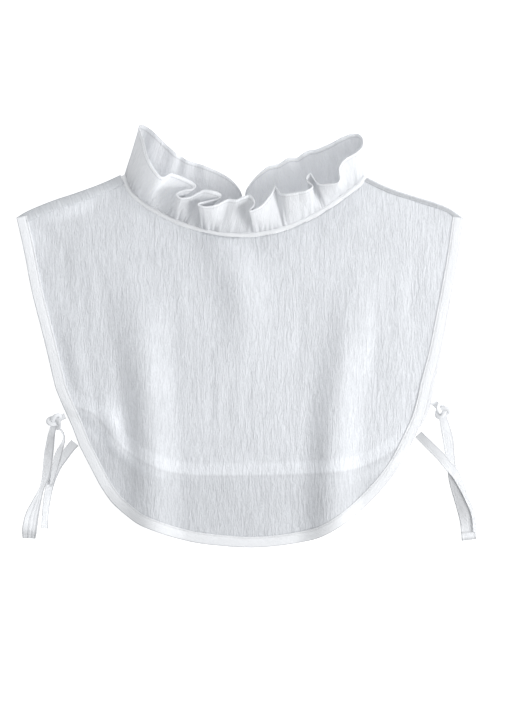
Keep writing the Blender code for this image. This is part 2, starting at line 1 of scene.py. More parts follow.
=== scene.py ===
# %% [markdown]
# # A ruffle collar with two bibs, laid flat
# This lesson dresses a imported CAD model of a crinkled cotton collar. The collar has a long front bib,
# a shorter back bib under it, a bias binding round both, one gathered ruffle round the neck and two
# ties at each side. The CAD pieces give every place and height. Here each one becomes thin cloth.

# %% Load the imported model
import math

import bpy
import numpy as np
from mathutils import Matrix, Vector


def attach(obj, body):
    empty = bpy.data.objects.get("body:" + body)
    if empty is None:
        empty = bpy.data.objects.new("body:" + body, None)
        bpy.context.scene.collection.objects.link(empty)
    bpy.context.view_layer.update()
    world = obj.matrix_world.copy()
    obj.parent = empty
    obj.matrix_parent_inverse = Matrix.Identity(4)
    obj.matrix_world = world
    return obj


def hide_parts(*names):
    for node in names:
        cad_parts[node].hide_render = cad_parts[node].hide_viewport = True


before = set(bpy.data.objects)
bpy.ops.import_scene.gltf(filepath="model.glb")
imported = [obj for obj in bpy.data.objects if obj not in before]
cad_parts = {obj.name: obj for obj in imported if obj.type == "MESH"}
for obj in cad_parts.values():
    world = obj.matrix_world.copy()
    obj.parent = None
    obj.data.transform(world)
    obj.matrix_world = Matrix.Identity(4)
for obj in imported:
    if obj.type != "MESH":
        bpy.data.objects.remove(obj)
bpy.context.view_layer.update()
bpy.ops.object.select_all(action="DESELECT")
MM = 0.001
print("CAD nodes:", ", ".join(sorted(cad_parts)))

# %% [markdown]
# The camera looks straight down, as the garment was photographed on a flat surface. It stands far
# off with a long lens, so the standing ruffle hardly grows. One pixel of the 519 by 720 picture is
# 0.8636 mm of the surface, and the frame's origin falls at pixel 240, 336.2.

# %% Camera
PIXEL = 0.8636 * MM
PICTURE_WIDTH = 519
PICTURE_HEIGHT = 720
ORIGIN_ACROSS = 240.0
ORIGIN_DOWN = 336.2
CAMERA_HEIGHT = 3.2
SENSOR = 36.0

camera_data = bpy.data.cameras.new("overhead_camera")
camera_data.sensor_width = SENSOR
camera_data.lens = SENSOR * CAMERA_HEIGHT / (PICTURE_HEIGHT * PIXEL)
camera = bpy.data.objects.new("overhead_camera", camera_data)
camera.location = ((PICTURE_WIDTH / 2 - ORIGIN_ACROSS) * PIXEL,
                   (ORIGIN_DOWN - PICTURE_HEIGHT / 2) * PIXEL, CAMERA_HEIGHT)
bpy.context.scene.collection.objects.link(camera)
bpy.context.scene.camera = camera
bpy.context.scene.view_settings.view_transform = "Standard"
print(f"lens {camera_data.lens:.0f} mm")

# %% [markdown]
# White cloth on white needs a soft light that still has a direction, or the folds vanish. A big lamp
# stands low and near on the right, so the left side is a little darker. A weak one behind lights the
# back half of the ruffle. An even pale sky gives most of the rest and fills the shadows.

# %% Light and floor
SKY_COLOUR = (0.97, 0.985, 1.0, 1.0)
SKY_STRENGTH = 0.62
KEY_PLACE = (1.05, -0.22, 0.70)
KEY_POWER = 11.5
KEY_WIDTH = 0.6
BACK_PLACE = (-0.25, 1.15, 1.10)
BACK_POWER = 4.5
BACK_WIDTH = 0.9
FLOOR_SIZE = 8.0
FLOOR_HEIGHT = -0.0004
FLOOR_GREY = (0.86, 0.86, 0.86, 1.0)
FLOOR_GLOW = 0.55


def lamp(name, place, power, width):
    light = bpy.data.lights.new(name, "AREA")
    light.energy = power
    light.size = width
    thing = bpy.data.objects.new(name, light)
    thing.location = place
    thing.rotation_euler = (Vector((0, 0, 0)) - Vector(place)).to_track_quat("-Z", "Y").to_euler()
    bpy.context.scene.collection.objects.link(thing)


lamp("key_lamp", KEY_PLACE, KEY_POWER, KEY_WIDTH)
lamp("back_lamp", BACK_PLACE, BACK_POWER, BACK_WIDTH)
world = bpy.data.worlds.new("pale_sky")
world.use_nodes = True
sky = world.node_tree.nodes["Background"]
sky.inputs["Color"].default_value = SKY_COLOUR
sky.inputs["Strength"].default_value = SKY_STRENGTH
bpy.context.scene.world = world

bpy.ops.mesh.primitive_plane_add(size=FLOOR_SIZE, location=(0, 0, FLOOR_HEIGHT))
floor = bpy.context.object
floor.name = "floor"
floor_paint = bpy.data.materials.new("floor_paint")
floor_paint.use_nodes = True
floor_shader = floor_paint.node_tree.nodes["Principled BSDF"]
floor_shader.inputs["Base Color"].default_value = FLOOR_GREY
floor_shader.inputs["Roughness"].default_value = 1.0
floor_shader.inputs["Emission Color"].default_value = (1.0, 1.0, 1.0, 1.0)
floor_shader.inputs["Emission Strength"].default_value = FLOOR_GLOW
floor.data.materials.append(floor_paint)
print("lamp, sky and floor are in place")

# %% [markdown]
# The outlines are those that the CAD model was built from, in millimetres. Each line is short,
# because a smooth curve runs through its points.

# %% Outlines of the bibs
FRONT_EDGE = [
    (-193, 102), (-186.5, 73), (-181, 44), (-175.5, 21), (-170, 0), (-165, -21), (-160, -42),
    (-156.5, -52), (-150.5, -66), (-145, -78.5), (-139, -94), (-132.5, -107), (-124.5, -122.5),
    (-119.5, -131.5), (-110.5, -144), (-100, -153.5), (-90, -161), (-79.5, -166), (-58.5, -173.5),
    (-38, -178.5), (-17.5, -181), (3.5, -182.5), (24, -182), (45, -179.5), (64, -175.5), (76, -170.5),
    (86.5, -164.5), (97, -157), (107, -148.5), (117.5, -138), (128, -126), (138, -112), (148.5, -92),
    (157, -73.5), (162, -57), (165.5, -41), (171, -20.5), (175.5, 0), (179.5, 21), (183.5, 41.5),
    (189, 73), (193, 102),
]
BACK_EDGE = [
    (-193, 102), (-187, 80.5), (-177.5, 33), (-168.5, -4), (-160, -32), (-153, -48), (-145, -58.5),
    (-134.5, -62.5), (-124.5, -67.5), (-115, -77.5), (-105.5, -90.5), (-94, -100.5), (-78.5, -109.5),
    (-60.5, -116.5), (-34.5, -119.5), (13, -119.5), (60.5, -118), (90.5, -115.5), (105.5, -112),
    (122, -104.5), (136.5, -95), (149.5, -84.5), (158.5, -74.5), (163.5, -63), (167, -48),
    (172.5, -20.5), (181.5, 28), (188.5, 75.5), (193, 102),
]
LEFT_SHOULDER = [
    (-193, 102), (-183, 108), (-162.5, 116.5), (-141.5, 123.5), (-121, 131), (-103, 139),
]
RIGHT_SHOULDER = [
    (193, 102), (181.5, 110), (169.5, 115), (148.5, 121.5), (128, 128.5), (109, 137.5),
]
NECK_BACK_LEFT = [
    (0.5, 105.5), (-15.5, 106), (-32, 107.5), (-49, 110.5), (-65, 115), (-77.5, 120.5), (-88, 128),
    (-98.5, 139),
]
NECK_FRONT = [
    (-98.5, 139), (-95, 129.5), (-88, 121), (-77.5, 113.5), (-64, 106), (-48.5, 99), (-31, 93.5),
    (-14, 90), (2.5, 89.5), (19, 91), (34.5, 94.5), (52, 101), (67.5, 109), (82, 118.5), (95, 128),
    (101.5, 133), (105.5, 139),
]
NECK_BACK_RIGHT = [
    (105.5, 139), (95, 128), (84.5, 121), (69, 114), (52, 109), (33, 106.5), (17.5, 105.5),
    (5.5, 105.5),
]
LEFT_TURN = 7.0
RIGHT_TURN = 3.6
BINDING_WIDTH = 9.5
BINDING_WALL = 2.0
NECK_BAND_WIDTH = 4.6
LIFT = 2.6
print(f"front edge: {len(FRONT_EDGE)} points, back edge: {len(BACK_EDGE)} points")

# %% [markdown]
# Cloth pieces follow lines, so a few helpers come first: a smooth curve through given points, a line with
# even spacing, and the same line moved to its left.

# %% Line helpers
CURVE_STEPS = 8
FRONT_POINTS = 640
BACK_POINTS = 520


def smooth_line(points, steps):
    """A Catmull-Rom curve through the points, with steps pieces between each two."""
    points = np.array(points, float)
    padded = np.vstack([points[:1], points, points[-1:]])
    share = np.arange(steps)[:, None] / steps
    pieces = []
    for a, b, c, d in zip(padded, padded[1:], padded[2:], padded[3:]):
        pieces.append(0.5 * (2 * b + (c - a) * share + (2 * a - 5 * b + 4 * c - d) * share ** 2
                             + (3 * b - a - 3 * c + d) * share ** 3))
    return np.vstack(pieces + [points[-1:]])


def lengths_along(line):
    return np.concatenate([[0.0], np.cumsum(np.linalg.norm(np.diff(line, axis=0), axis=1))])


def spread(line, count):
    """The same line with count points, evenly spaced."""
    marks = lengths_along(line[:, :2])
    even = np.linspace(0, marks[-1], count)
    return np.column_stack([np.interp(even, marks, column) for column in line.T])


def left_sides(line):
    """The flat unit vector to the left of each point's direction."""
    along = np.gradient(line[:, :2], axis=0)
    along /= np.linalg.norm(along, axis=1)[:, None]
    return np.column_stack([-along[:, 1], along[:, 0]])


def moved_left(line, distance):
    return line[:, :2] + left_sides(line) * distance


FRONT_LINE = spread(smooth_line(FRONT_EDGE, CURVE_STEPS), FRONT_POINTS)
BACK_LINE = spread(smooth_line(BACK_EDGE, CURVE_STEPS), BACK_POINTS)
print(f"front binding {lengths_along(FRONT_LINE)[-1]:.0f} mm, back {lengths_along(BACK_LINE)[-1]:.0f} mm")

# %% [markdown]
# Crinkled cotton gets its look from thousands of small upright puckers. A table of random numbers,
# read smoothly, gives such hills at any width and length. The table has a seed, so each run is alike.

# %% Random hills
TABLE_SIDE = 256


def hills(x, y, width, length, seed):
    """Soft random heights from -1 to 1, about width by length each."""
    table = np.random.default_rng(seed).uniform(-1, 1, (TABLE_SIDE, TABLE_SIDE))
    u = np.asarray(x) / width
    v = np.asarray(y) / length
    column = np.floor(u).astype(int)
    row = np.floor(v).astype(int)
    share_u = (u - column) ** 2 * (3 - 2 * (u - column))
    share_v = (v - row) ** 2 * (3 - 2 * (v - row))
    left, right = column % TABLE_SIDE, (column + 1) % TABLE_SIDE
    front, back = row % TABLE_SIDE, (row + 1) % TABLE_SIDE
    near = table[left, front] * (1 - share_u) + table[right, front] * share_u
    far = table[left, back] * (1 - share_u) + table[right, back] * share_u
    return near * (1 - share_v) + far * share_v


def ease(share):
    share = np.clip(share, 0.0, 1.0)
    return share * share * (3 - 2 * share)


print("hills range", round(float(np.abs(hills(np.arange(500), np.arange(500), 3, 20, 1)).max()), 2))

# %% [markdown]
# A piece of cloth is a grid of middle points with a thin wall round it: the top, the underside and a
# rim along every open edge. Making the wall here, and not with a modifier, lets a hem be thicker.
# The grid's own lengths become the UV map, in metres, so the weave follows the cloth round its folds.

# %% A mesh in the scene
TINY = 1e-9


def add_piece(name, points, faces, uv=None):
    """A smooth object from points in mm; uv gives each point's place on its cloth, in mm."""
    mesh = bpy.data.meshes.new(name)
    mesh.from_pydata((points * MM).tolist(), [], faces)
    layer = mesh.uv_layers.new(name="UVMap")
    if uv is not None:
        corners = np.empty(len(mesh.loops), dtype=np.int32)
        mesh.loops.foreach_get("vertex_index", corners)
        layer.data.foreach_set("uv", (uv * MM)[corners].ravel())
    mesh.shade_smooth()
    piece = bpy.data.objects.new(name, mesh)
    bpy.context.scene.collection.objects.link(piece)
    return piece


def normals_of(grid):
    """The unit vector out of the cloth at each point of a grid."""
    normal = np.cross(np.gradient(grid, axis=0), np.gradient(grid, axis=1))
    return normal / np.maximum(np.linalg.norm(normal, axis=2), TINY)[:, :, None]


print("one helper adds every piece")

# %% A cloth shell


def cloth_shell(name, middle, wall, lengths, cut_out=None):
    """A closed thin shell from a grid of points in mm, and the numbers of the points it keeps."""
    count_u, count_v = middle.shape[:2]
    normal = normals_of(middle)
    half = np.broadcast_to(np.asarray(wall, float) / 2, middle.shape[:2])[:, :, None]
    points = np.vstack([(middle + normal * half).reshape(-1, 3), (middle - normal * half).reshape(-1, 3)])
    corner = np.arange(count_u * count_v).reshape(count_u, count_v)
    quads = np.stack([corner[:-1, :-1], corner[1:, :-1], corner[1:, 1:], corner[:-1, 1:]], axis=2)
    kept = quads.reshape(-1, 4) if cut_out is None else quads[~cut_out]
    edges = np.vstack([kept[:, [0, 1]], kept[:, [1, 2]], kept[:, [2, 3]], kept[:, [3, 0]]])
    ends = np.sort(edges, axis=1)
    key = ends[:, 0] * corner.size + ends[:, 1]
    first, times = np.unique(key, return_index=True, return_counts=True)[1:]
    rim = edges[first[times == 1]]
    under = corner.size
    rim_faces = np.stack([rim[:, 1], rim[:, 0], rim[:, 0] + under, rim[:, 1] + under], axis=1)
    faces = np.vstack([kept, kept[:, ::-1] + under, rim_faces])
    used = np.unique(faces)
    number = np.zeros(len(points), int)
    number[used] = np.arange(len(used))
    uv = np.vstack([lengths.reshape(-1, 2)] * 2)[used]
    return add_piece(name, points[used], number[faces].tolist(), uv), used


def dress(piece, material, slot, *nodes):
    """Gives a piece its material and body, and hides the CAD nodes it stands for."""
    piece.data.materials.append(material)
    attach(piece, "root")
    if nodes:
        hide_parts(*nodes)
    print(f"{piece.name}: {sum(len(face.vertices) - 2 for face in piece.data.polygons)} triangles")


print("cloth shells and dressing are ready")

# %% Distance to a line


def distance_to(line, x, y):
    """Distance from each place to a line, in mm."""
    nearest = np.full(x.shape, np.inf)
    for start, end in zip(line, line[1:]):
        along = end - start
        share = ((x - start[0]) * along[0] + (y - start[1]) * along[1]) / max(along @ along, TINY)
        share = np.clip(share, 0, 1)
        away_x = x - start[0] - along[0] * share
        away_y = y - start[1] - along[1] * share
        nearest = np.minimum(nearest, np.hypot(away_x, away_y))
    return nearest


# %% [markdown]
# Crinkled cotton is woven plain and then shrunk across, so it stands up in fine puckers that run
# along the warp. The puckers, a finer crackle and the weave itself make one bump, and a faint shade
# in the hollows. Every cloth piece uses them, so they are one node group with its own strengths.

# %% Node helpers
NODE_STEP = 200
NOISE_ROUGHNESS = 0.6


def join(tree, source, target):
    tree.links.new(source, target)


def add_node(tree, kind, place):
    node = tree.nodes.new("ShaderNode" + kind)
    node.location = place
    return node


def noise_on(tree, vector, scale, detail, place, bend=0.0):
    """Noise stretched by a mapping, in features per metre of cloth; bend makes its streaks wavy."""
    mapping = add_node(tree, "Mapping", place)
    mapping.inputs["Scale"].default_value = scale
    texture = add_node(tree, "TexNoise", (place[0] + NODE_STEP, place[1]))
    texture.inputs["Scale"].default_value = 1.0
    texture.inputs["Detail"].default_value = detail
    texture.inputs["Roughness"].default_value = NOISE_ROUGHNESS
    texture.inputs["Distortion"].default_value = bend
    join(tree, vector, mapping.inputs["Vector"])
    join(tree, mapping.outputs["Vector"], texture.inputs["Vector"])
    return texture.outputs["Fac"]


def maths(tree, kind, first, second, place=(0, 0)):
    """One math node; first and second are sockets or numbers."""
    node = add_node(tree, "Math", place)
    node.operation = kind
    for socket, value in zip(node.inputs, (first, second)):
        if isinstance(value, (int, float)):
            socket.default_value = value
        else:
            join(tree, value, socket)
    return node.outputs[0]


def product(tree, first, second, place=(0, 0)):
    return maths(tree, "MULTIPLY", first, second, place)


def total(tree, first, second, place=(0, 0)):
    return maths(tree, "ADD", first, second, place)


def cloth_place(tree, place):
    """The piece's own UV map, and the same split into X and Y."""
    cloth = add_node(tree, "UVMap", place)
    cloth.uv_map = "UVMap"
    split = add_node(tree, "SeparateXYZ", (place[0] + NODE_STEP, place[1]))
    join(tree, cloth.outputs["UV"], split.inputs[0])
    return cloth.outputs["UV"], split.outputs


print("node helpers are ready")

# %% The crinkled weave group
PUCKERS = (480.0, 80.0, 1.0)
PUCKER_BEND = 0.7
CRACKLE = (1250.0, 400.0, 1.0)
CLOUDS = (38.0, 16.0, 1.0)
THREADS = 2 * math.pi / 0.0006
THREAD_HEIGHT = 0.06
CRACKLE_HEIGHT = 0.50
PUCKER_SHADE = 0.45
CRACKLE_SHADE = 0.30
CLOUD_SHADE = 0.25


def crinkled_weave():
    """A node group: puckers and threads as a height, and a shade for the hollows."""
    group = bpy.data.node_groups.new("crinkled_weave", "ShaderNodeTree")
    for socket, way in (("Pucker Depth", "INPUT"), ("Shade Depth", "INPUT"),
                        ("Shade", "OUTPUT"), ("Height", "OUTPUT")):
        group.interface.new_socket(socket, in_out=way, socket_type="NodeSocketFloat")
    entry = group.nodes.new("NodeGroupInput")
    leave = group.nodes.new("NodeGroupOutput")
    entry.location = (-900, 600)
    leave.location = (1300, 0)
    cloth, split = cloth_place(group, (-1100, 0))
    puckers = noise_on(group, cloth, PUCKERS, 2.0, (-700, 200), PUCKER_BEND)
    crackle = noise_on(group, cloth, CRACKLE, 1.0, (-700, -150))
    clouds = noise_on(group, cloth, CLOUDS, 2.0, (-700, -500))
    warp = maths(group, "SINE", product(group, split["X"], THREADS, (-700, -850)), 0.0, (-500, -850))
    weft = maths(group, "SINE", product(group, split["Y"], THREADS, (-700, -1050)), 0.0, (-500, -1050))
    both = product(group, warp, weft, (-300, -950))
    threads = product(group, both, THREAD_HEIGHT, (-100, -950))
    rough = total(group, product(group, crackle, CRACKLE_HEIGHT, (-100, -150)), threads, (300, -150))
    tall = product(group, puckers, entry.outputs["Pucker Depth"], (-100, 400))
    join(group, total(group, tall, rough, (500, 200)), leave.inputs["Height"])
    pucker_shade = product(group, puckers, PUCKER_SHADE, (-100, 200))
    crackle_shade = product(group, crackle, CRACKLE_SHADE, (-100, -350))
    fine = total(group, pucker_shade, crackle_shade, (100, 0))
    hollow = total(group, fine, product(group, clouds, CLOUD_SHADE, (-100, -550)), (300, 0))
    centred = maths(group, "SUBTRACT", hollow, 0.5, (500, 0))
    shade = product(group, centred, entry.outputs["Shade Depth"], (700, 0))
    join(group, total(group, shade, 1.0, (900, 0)), leave.inputs["Shade"])
    return group


WEAVE = crinkled_weave()
print("group outputs:", [socket.name for socket in WEAVE.interface.items_tree])

# %% [markdown]
# Each finish is matt cotton with its own tint. The bibs also read how far a place lies outside the back bib:
# where two layers lie on each other they look lighter, and where the back hem's binding lies under the front
# it shows through as a pale band. Most finishes also carry painted light and shade, in bands across or along
# a piece and in soft patches on the front bib.

# %% Cotton finishes
ROUGHNESS = 0.88
SHEEN = 0.15
SPECULAR = 0.25
BUMP_STRENGTH = 0.9
BUMP_DISTANCE = 0.0009


def cotton(name, tint, pucker_depth, shade_depth, bands=()):
    """Matt cotton; each of the bands is an axis and marks, which shade the piece along it."""
    material = bpy.data.materials.new(name)
    material.use_nodes = True
    tree = material.node_tree
    shader = tree.nodes["Principled BSDF"]
    shader.inputs["Roughness"].default_value = ROUGHNESS
    shader.inputs["Sheen Weight"].default_value = SHEEN
    shader.inputs["Specular IOR Level"].default_value = SPECULAR
    weave = add_node(tree, "Group", (-900, 0))
    weave.node_tree = WEAVE
    weave.inputs["Pucker Depth"].default_value = pucker_depth
    weave.inputs["Shade Depth"].default_value = shade_depth
    bump = add_node(tree, "Bump", (-300, -300))
    bump.inputs["Strength"].default_value = BUMP_STRENGTH
    bump.inputs["Distance"].default_value = BUMP_DISTANCE
    join(tree, weave.outputs["Height"], bump.inputs["Height"])
    join(tree, bump.outputs["Normal"], shader.inputs["Normal"])
    shade = weave.outputs["Shade"]
    for axis, marks in bands:
        shade = product(tree, shade, banded(tree, axis, marks), (-500, 100))
    colour = add_node(tree, "VectorMath", (-250, 100))
    colour.operation = "SCALE"
    colour.inputs[0].default_value = tint
    join(tree, shade, colour.inputs["Scale"])
    join(tree, colour.outputs[0], shader.inputs["Base Color"])
    return material


def shade_ramp(tree, value, marks, place):
    """A brightness factor that follows a value in mm through marks of (mm, factor)."""
    first, last = marks[0][0], marks[-1][0]
    ramp = add_node(tree, "ValToRGB", place)
    while len(ramp.color_ramp.elements) < len(marks):
        ramp.color_ramp.elements.new(0.5)
    for element, (at, factor) in zip(ramp.color_ramp.elements, marks):
        element.position = (at - first) / (last - first)
        element.color = (factor / 2, factor / 2, factor / 2, 1.0)
    moved = maths(tree, "SUBTRACT", value, first, (place[0] - 2 * NODE_STEP, place[1]))
    along = maths(tree, "DIVIDE", moved, last - first, (place[0] - NODE_STEP, place[1]))
    join(tree, along, ramp.inputs["Fac"])
    return product(tree, ramp.outputs["Color"], 2.0, (place[0] + 300, place[1]))


def banded(tree, axis, marks):
    """Brightness that follows the piece's own U or V in mm, or one of its attributes."""
    if axis not in ("X", "Y"):
        attribute = add_node(tree, "Attribute", (-1500, 400))
        attribute.attribute_name = axis
        return shade_ramp(tree, attribute.outputs["Fac"], marks, (-900, 400))
    split = cloth_place(tree, (-1900, 700))[1]
    millimetres = product(tree, split[axis], 1000.0, (-1500, 700))
    return shade_ramp(tree, millimetres, marks, (-900, 700))


# Marks across each piece: mm along its own U or V or off an edge, brightness factor
# Front bib: two layers, the pale band over the back hem, and one layer past it, where painted light lifts
# the shade of the step down to the surface
LAYER_MARKS = [(-20, 1.0), (-11.5, 1.0), (-8.5, 1.08), (-0.8, 1.08), (1.2, 0.91), (4, 0.93), (8, 0.95),
               (12, 0.92), (20, 0.90)]
# Painted light and shade from the front bib's soft patches, in percent
LIGHT_AND_SHADE_PATCH_MARKS = [(-20, 0.8), (20, 1.2)]
HEM_MARKS = [(0, 0.95), (6, 1.0), (42.6, 1.0), (43.0, 0.88), (43.7, 0.92), (44.1, 1.10), (46.3, 1.10),
             (47, 0.95)]
# Painted light and shade along the ruffle's edge, in mm: the two back halves, in the shade of the standing
# front, and its first fold are painted lighter, and the cloth near the two turns darker
RUFFLE_LIGHT_AND_SHADE = [(0, 1.10), (50, 1.05), (95, 1.08), (120, 0.94), (152, 0.92), (164, 0.98), (176, 1.18),
               (204, 1.26), (225, 1.10), (250, 1.06), (330, 1.06), (360, 1.0), (470, 1.0), (500, 0.95),
               (540, 0.96), (565, 1.19), (696, 1.22)]
# Binding across: painted shade along the outer fold, where it meets the surface, and a darker line at the
# stitching
BINDING_MARKS = [(0, 0.72), (0.9, 0.76), (1.7, 1.0), (7.9, 1.0), (8.4, 0.90), (8.9, 1.0), (9.6, 0.96),
                 (10.2, 0.9)]
# Shoulder strips: the left one from under its fold to its sewn edge, the right one the other way. Both carry
# painted light and shade, a narrow dark line and one lighter end, and the right strip's cloth is tinted
# lighter than the left one's as painted light
LEFT_TURN_MARKS = [(0, 0.9), (1.7, 0.70), (2.9, 0.74), (4.2, 0.90), (6.0, 0.98), (8.0, 1.12)]
RIGHT_TURN_MARKS = [(0, 1.14), (1.8, 1.10), (4.2, 1.04), (5.0, 0.70), (6.2, 0.70), (8.0, 0.9)]
FRONT_COTTON = cotton("front_bib_cotton", (0.731, 0.748, 0.778), 1.35, 0.66,
                      bands=[("outside_back", LAYER_MARKS), ("painted_light_patches", LIGHT_AND_SHADE_PATCH_MARKS)])
LEFT_TURN_COTTON = cotton("left_shoulder_cotton", (0.700, 0.718, 0.746), 1.4, 0.40,
                          bands=[("Y", LEFT_TURN_MARKS)])
RIGHT_TURN_COTTON = cotton("right_shoulder_cotton", (0.720, 0.738, 0.766), 1.2, 0.40,
                           bands=[("Y", RIGHT_TURN_MARKS)])
BACK_COTTON = cotton("back_bib_cotton", (0.700, 0.718, 0.746), 0.9, 0.20)
RUFFLE_COTTON = cotton("ruffle_cotton", (0.79, 0.802, 0.825), 1.0, 0.30,
                       bands=[("Y", HEM_MARKS), ("X", RUFFLE_LIGHT_AND_SHADE)])
# Along the bindings, in mm from the left shoulder: painted light down the left side, and painted shade in
# two dips where the big folds cross the front hem
BINDING_LIGHT_AND_SHADE_ALONG = [(0, 1.12), (90, 1.08), (170, 1.0), (240, 1.0), (262, 0.90), (290, 0.88), (310, 1.0),
                 (436, 1.0), (452, 0.86), (468, 0.85), (484, 1.0), (800, 1.0)]
BINDING_COTTON = cotton("binding_cotton", (0.86, 0.87, 0.89), 0.45, 0.16,
                        bands=[("X", BINDING_MARKS), ("Y", BINDING_LIGHT_AND_SHADE_ALONG)])
BAND_COTTON = cotton("neck_band_cotton", (0.92, 0.93, 0.945), 0.35, 0.08)
# Ties: how bright the edges are, as painted shade along the folded edges, then painted light and shade in
# marks along the strip from the binding
TIE_LIGHT_AND_SHADE = {
    "tie_front_left": (0.66, [(0, 0.76), (8, 0.92), (16, 1.0), (30, 1.10), (50, 1.16), (85, 1.22)]),
    "tie_back_left": (0.62, [(0, 1.0), (16, 1.0), (24, 0.87), (34, 0.89), (46, 1.02), (60, 1.08), (72, 1.14),
                             (84, 1.06), (100, 1.10), (107, 1.0), (110, 0.86), (118, 0.84)]),
    "tie_front_right": (0.80, [(0, 0.82), (14, 0.87), (26, 0.90), (34, 0.98), (50, 1.08), (105, 1.12)]),
    "tie_back_right": (0.74, [(0, 1.3), (10, 1.2), (16, 1.0), (60, 1.0), (65, 0.68), (98, 0.68), (110, 0.80),
                              (117, 0.93), (118.5, 0.72), (120, 0.96), (122.5, 0.96), (124.5, 0.72)]),
    "knots": (0.75, [(0, 0.95), (20, 1.04), (40, 0.90), (60, 1.04), (120, 0.95)]),
    "slack_strand": (0.60, [(0, 1.1), (14, 1.1), (20, 0.92), (34, 0.98), (50, 1.12)]),
}
TIE_COTTONS = {}
for tied, (edge, along) in TIE_LIGHT_AND_SHADE.items():
    across = [(-4.2, edge), (-3.6, edge + 0.04), (-3.1, 1.0), (-2.6, 0.96), (2.6, 0.96), (3.1, 1.0),
              (3.6, edge + 0.04), (4.2, edge)]
    TIE_COTTONS[tied] = cotton(tied + "_cotton", (0.85, 0.86, 0.88), 0.35, 0.08,
                               bands=[("X", across), ("Y", along)])
print("finishes:", ", ".join(material.name for material in bpy.data.materials if "cotton" in material.name))

# %% [markdown]
# The neck line is where the ruffle, its band and both bibs meet. It runs from the centre back round
# the left side, along the front and back to the centre.

# %% Neck line
BAND_MIDDLE = 0.8
NECK_POINTS = 160
SEAM_START = 0.012
SEAM_END = 0.988
TURN_POINTS = 14
# Seam count at its start, points, height of the band's middle, side on which the bib lies
NECK_RUNS = [
    (0.0, NECK_BACK_LEFT, BAND_MIDDLE, 1.0), (1.0, NECK_FRONT, LIFT + BAND_MIDDLE, -1.0),
    (2.0, NECK_BACK_RIGHT, BAND_MIDDLE, 1.0),
]


def neck_rows():
    """The neck line from centre back round to centre back: seam count, x, y, z, bibward x and y."""
    rows = []
    for first_seam, points, height, side in NECK_RUNS:
        line = spread(smooth_line(points, CURVE_STEPS), NECK_POINTS)
        seams = np.linspace(first_seam + SEAM_START, first_seam + SEAM_END, len(line))
        rows.append(np.column_stack([seams, line, np.full(len(line), height), left_sides(line) * side]))
    return rows


NECK_ROWS = neck_rows()


def joined_neck(rows):
    """The three runs joined, with a small half circle where the band turns at each neck point."""
    whole = [rows[0]]
    for before, after in ((rows[0][-1], rows[1][0]), (rows[1][-1], rows[2][0])):
        side = before[4:] + after[4:]
        side /= np.linalg.norm(side)
        outward = np.array([side[1], -side[0]]) if side[0] < 0 else np.array([-side[1], side[0]])
        angle = np.linspace(0, math.pi, TURN_POINTS)[1:-1, None]
        middle = (before + after) / 2
        turn = np.repeat(middle[None, :], len(angle), axis=0)
        turn[:, 0] = np.linspace(before[0], after[0], len(angle) + 2)[1:-1]
        turn[:, 1:3] += outward * abs(after[3] - before[3]) / 2 * np.sin(angle)
        turn[:, 3] = (before[3] + (after[3] - before[3]) * (1 - np.cos(angle)) / 2)[:, 0]
        turn[:, 4:] = side
        whole.append(turn)
        whole.append(rows[1] if before[0] < 1.5 else rows[2])
    return np.vstack(whole)


NECK = joined_neck(NECK_ROWS)
print(f"neck seam {lengths_along(NECK[:, 1:4])[-1]:.0f} mm long")

# %% [markdown]
# The front bib lies on the back one and comes down to the surface past its hem. Soft folds are
# pressed up in it. Each is a crest that runs down the cloth, with a height and a half width at each
# place, and these are the CAD model's own folds.

# %% Folds of the front bib: x, y, height, half width in mm
FRONT_FOLDS = [
    [(-96, 70, 0, 30), (-89, 27, 3.8, 32), (-84.5, -8, 7.0, 29), (-80, -42, 8.8, 26),
     (-77.5, -77, 9.2, 26), (-76, -128, 8.0, 29), (-76, -185, 7.6, 30)],
    [(106, 66, 0, 30), (99, 27, 3.2, 32), (92.5, -8, 6.2, 29), (85.5, -42, 8.0, 27),
     (82, -77, 8.6, 27), (79.5, -128, 8.0, 29), (77, -185, 7.6, 30)],
    [(-24, 92, 0, 24), (-17, 79, 3.0, 28), (-8, 61, 5.2, 30), (-1, 44, 5.8, 30), (2, 20, 4.6, 28),
     (4, -8, 2.0, 26), (5, -35, 0, 24)],
    [(-118, -40, 0, 11), (-113, -66, 2.8, 12), (-106, -92, 2.4, 12), (-99, -116, 0, 11)],
    [(-146, 20, 0, 12), (-141, -22, 2.2, 12), (-134, -58, 0, 10)],
]
FOLD_STEPS = 4
STEP_FLAT = 4.0
STEP_FALL = 9.0


def fold_height(x, y):
    """How far the soft folds lift the front bib."""
    height = np.zeros(x.shape)
    for rows in FRONT_FOLDS:
        crest = smooth_line(rows, FOLD_STEPS)
        for (x0, y0, rise0, width0), (x1, y1, rise1, width1) in zip(crest, crest[1:]):
            share = np.clip((y0 - y) / (y0 - y1), 0, 1)
            away = np.abs(x - x0 - (x1 - x0) * share) / (width0 + (width1 - width0) * share)
            here = (y < y0) & (y >= y1) & (away < 1)
            height += here * (rise0 + (rise1 - rise0) * share) * (0.5 + 0.5 * np.cos(math.pi * away))
    return height


def outside_back(x, y):
    """Distance outside the back bib's edge in mm, below 0 where the place lies on the back bib."""
    away = distance_to(BACK_LINE[::4], x, y)
    low = np.interp(x, BACK_LINE[:, 0], BACK_LINE[:, 1])
    return np.where(y > low, -away, away)


def front_underside(x, y):
    """Height of the front bib's underside above the surface."""
    past = np.maximum(outside_back(x, y), 0)
    return LIFT * (1 - ease((past - STEP_FLAT) / STEP_FALL)) + fold_height(x, y)


print("highest fold", max(row[2] for rows in FRONT_FOLDS for row in rows), "mm")

# %% [markdown]
# The front bib is one piece of cloth from the shoulders to the hem. Its grid has a column of points
# for each millimetre or so across, each running from the lower edge up to the shoulder or the neck.
# Fine puckers and the shallow creases between the folds are pressed in here.

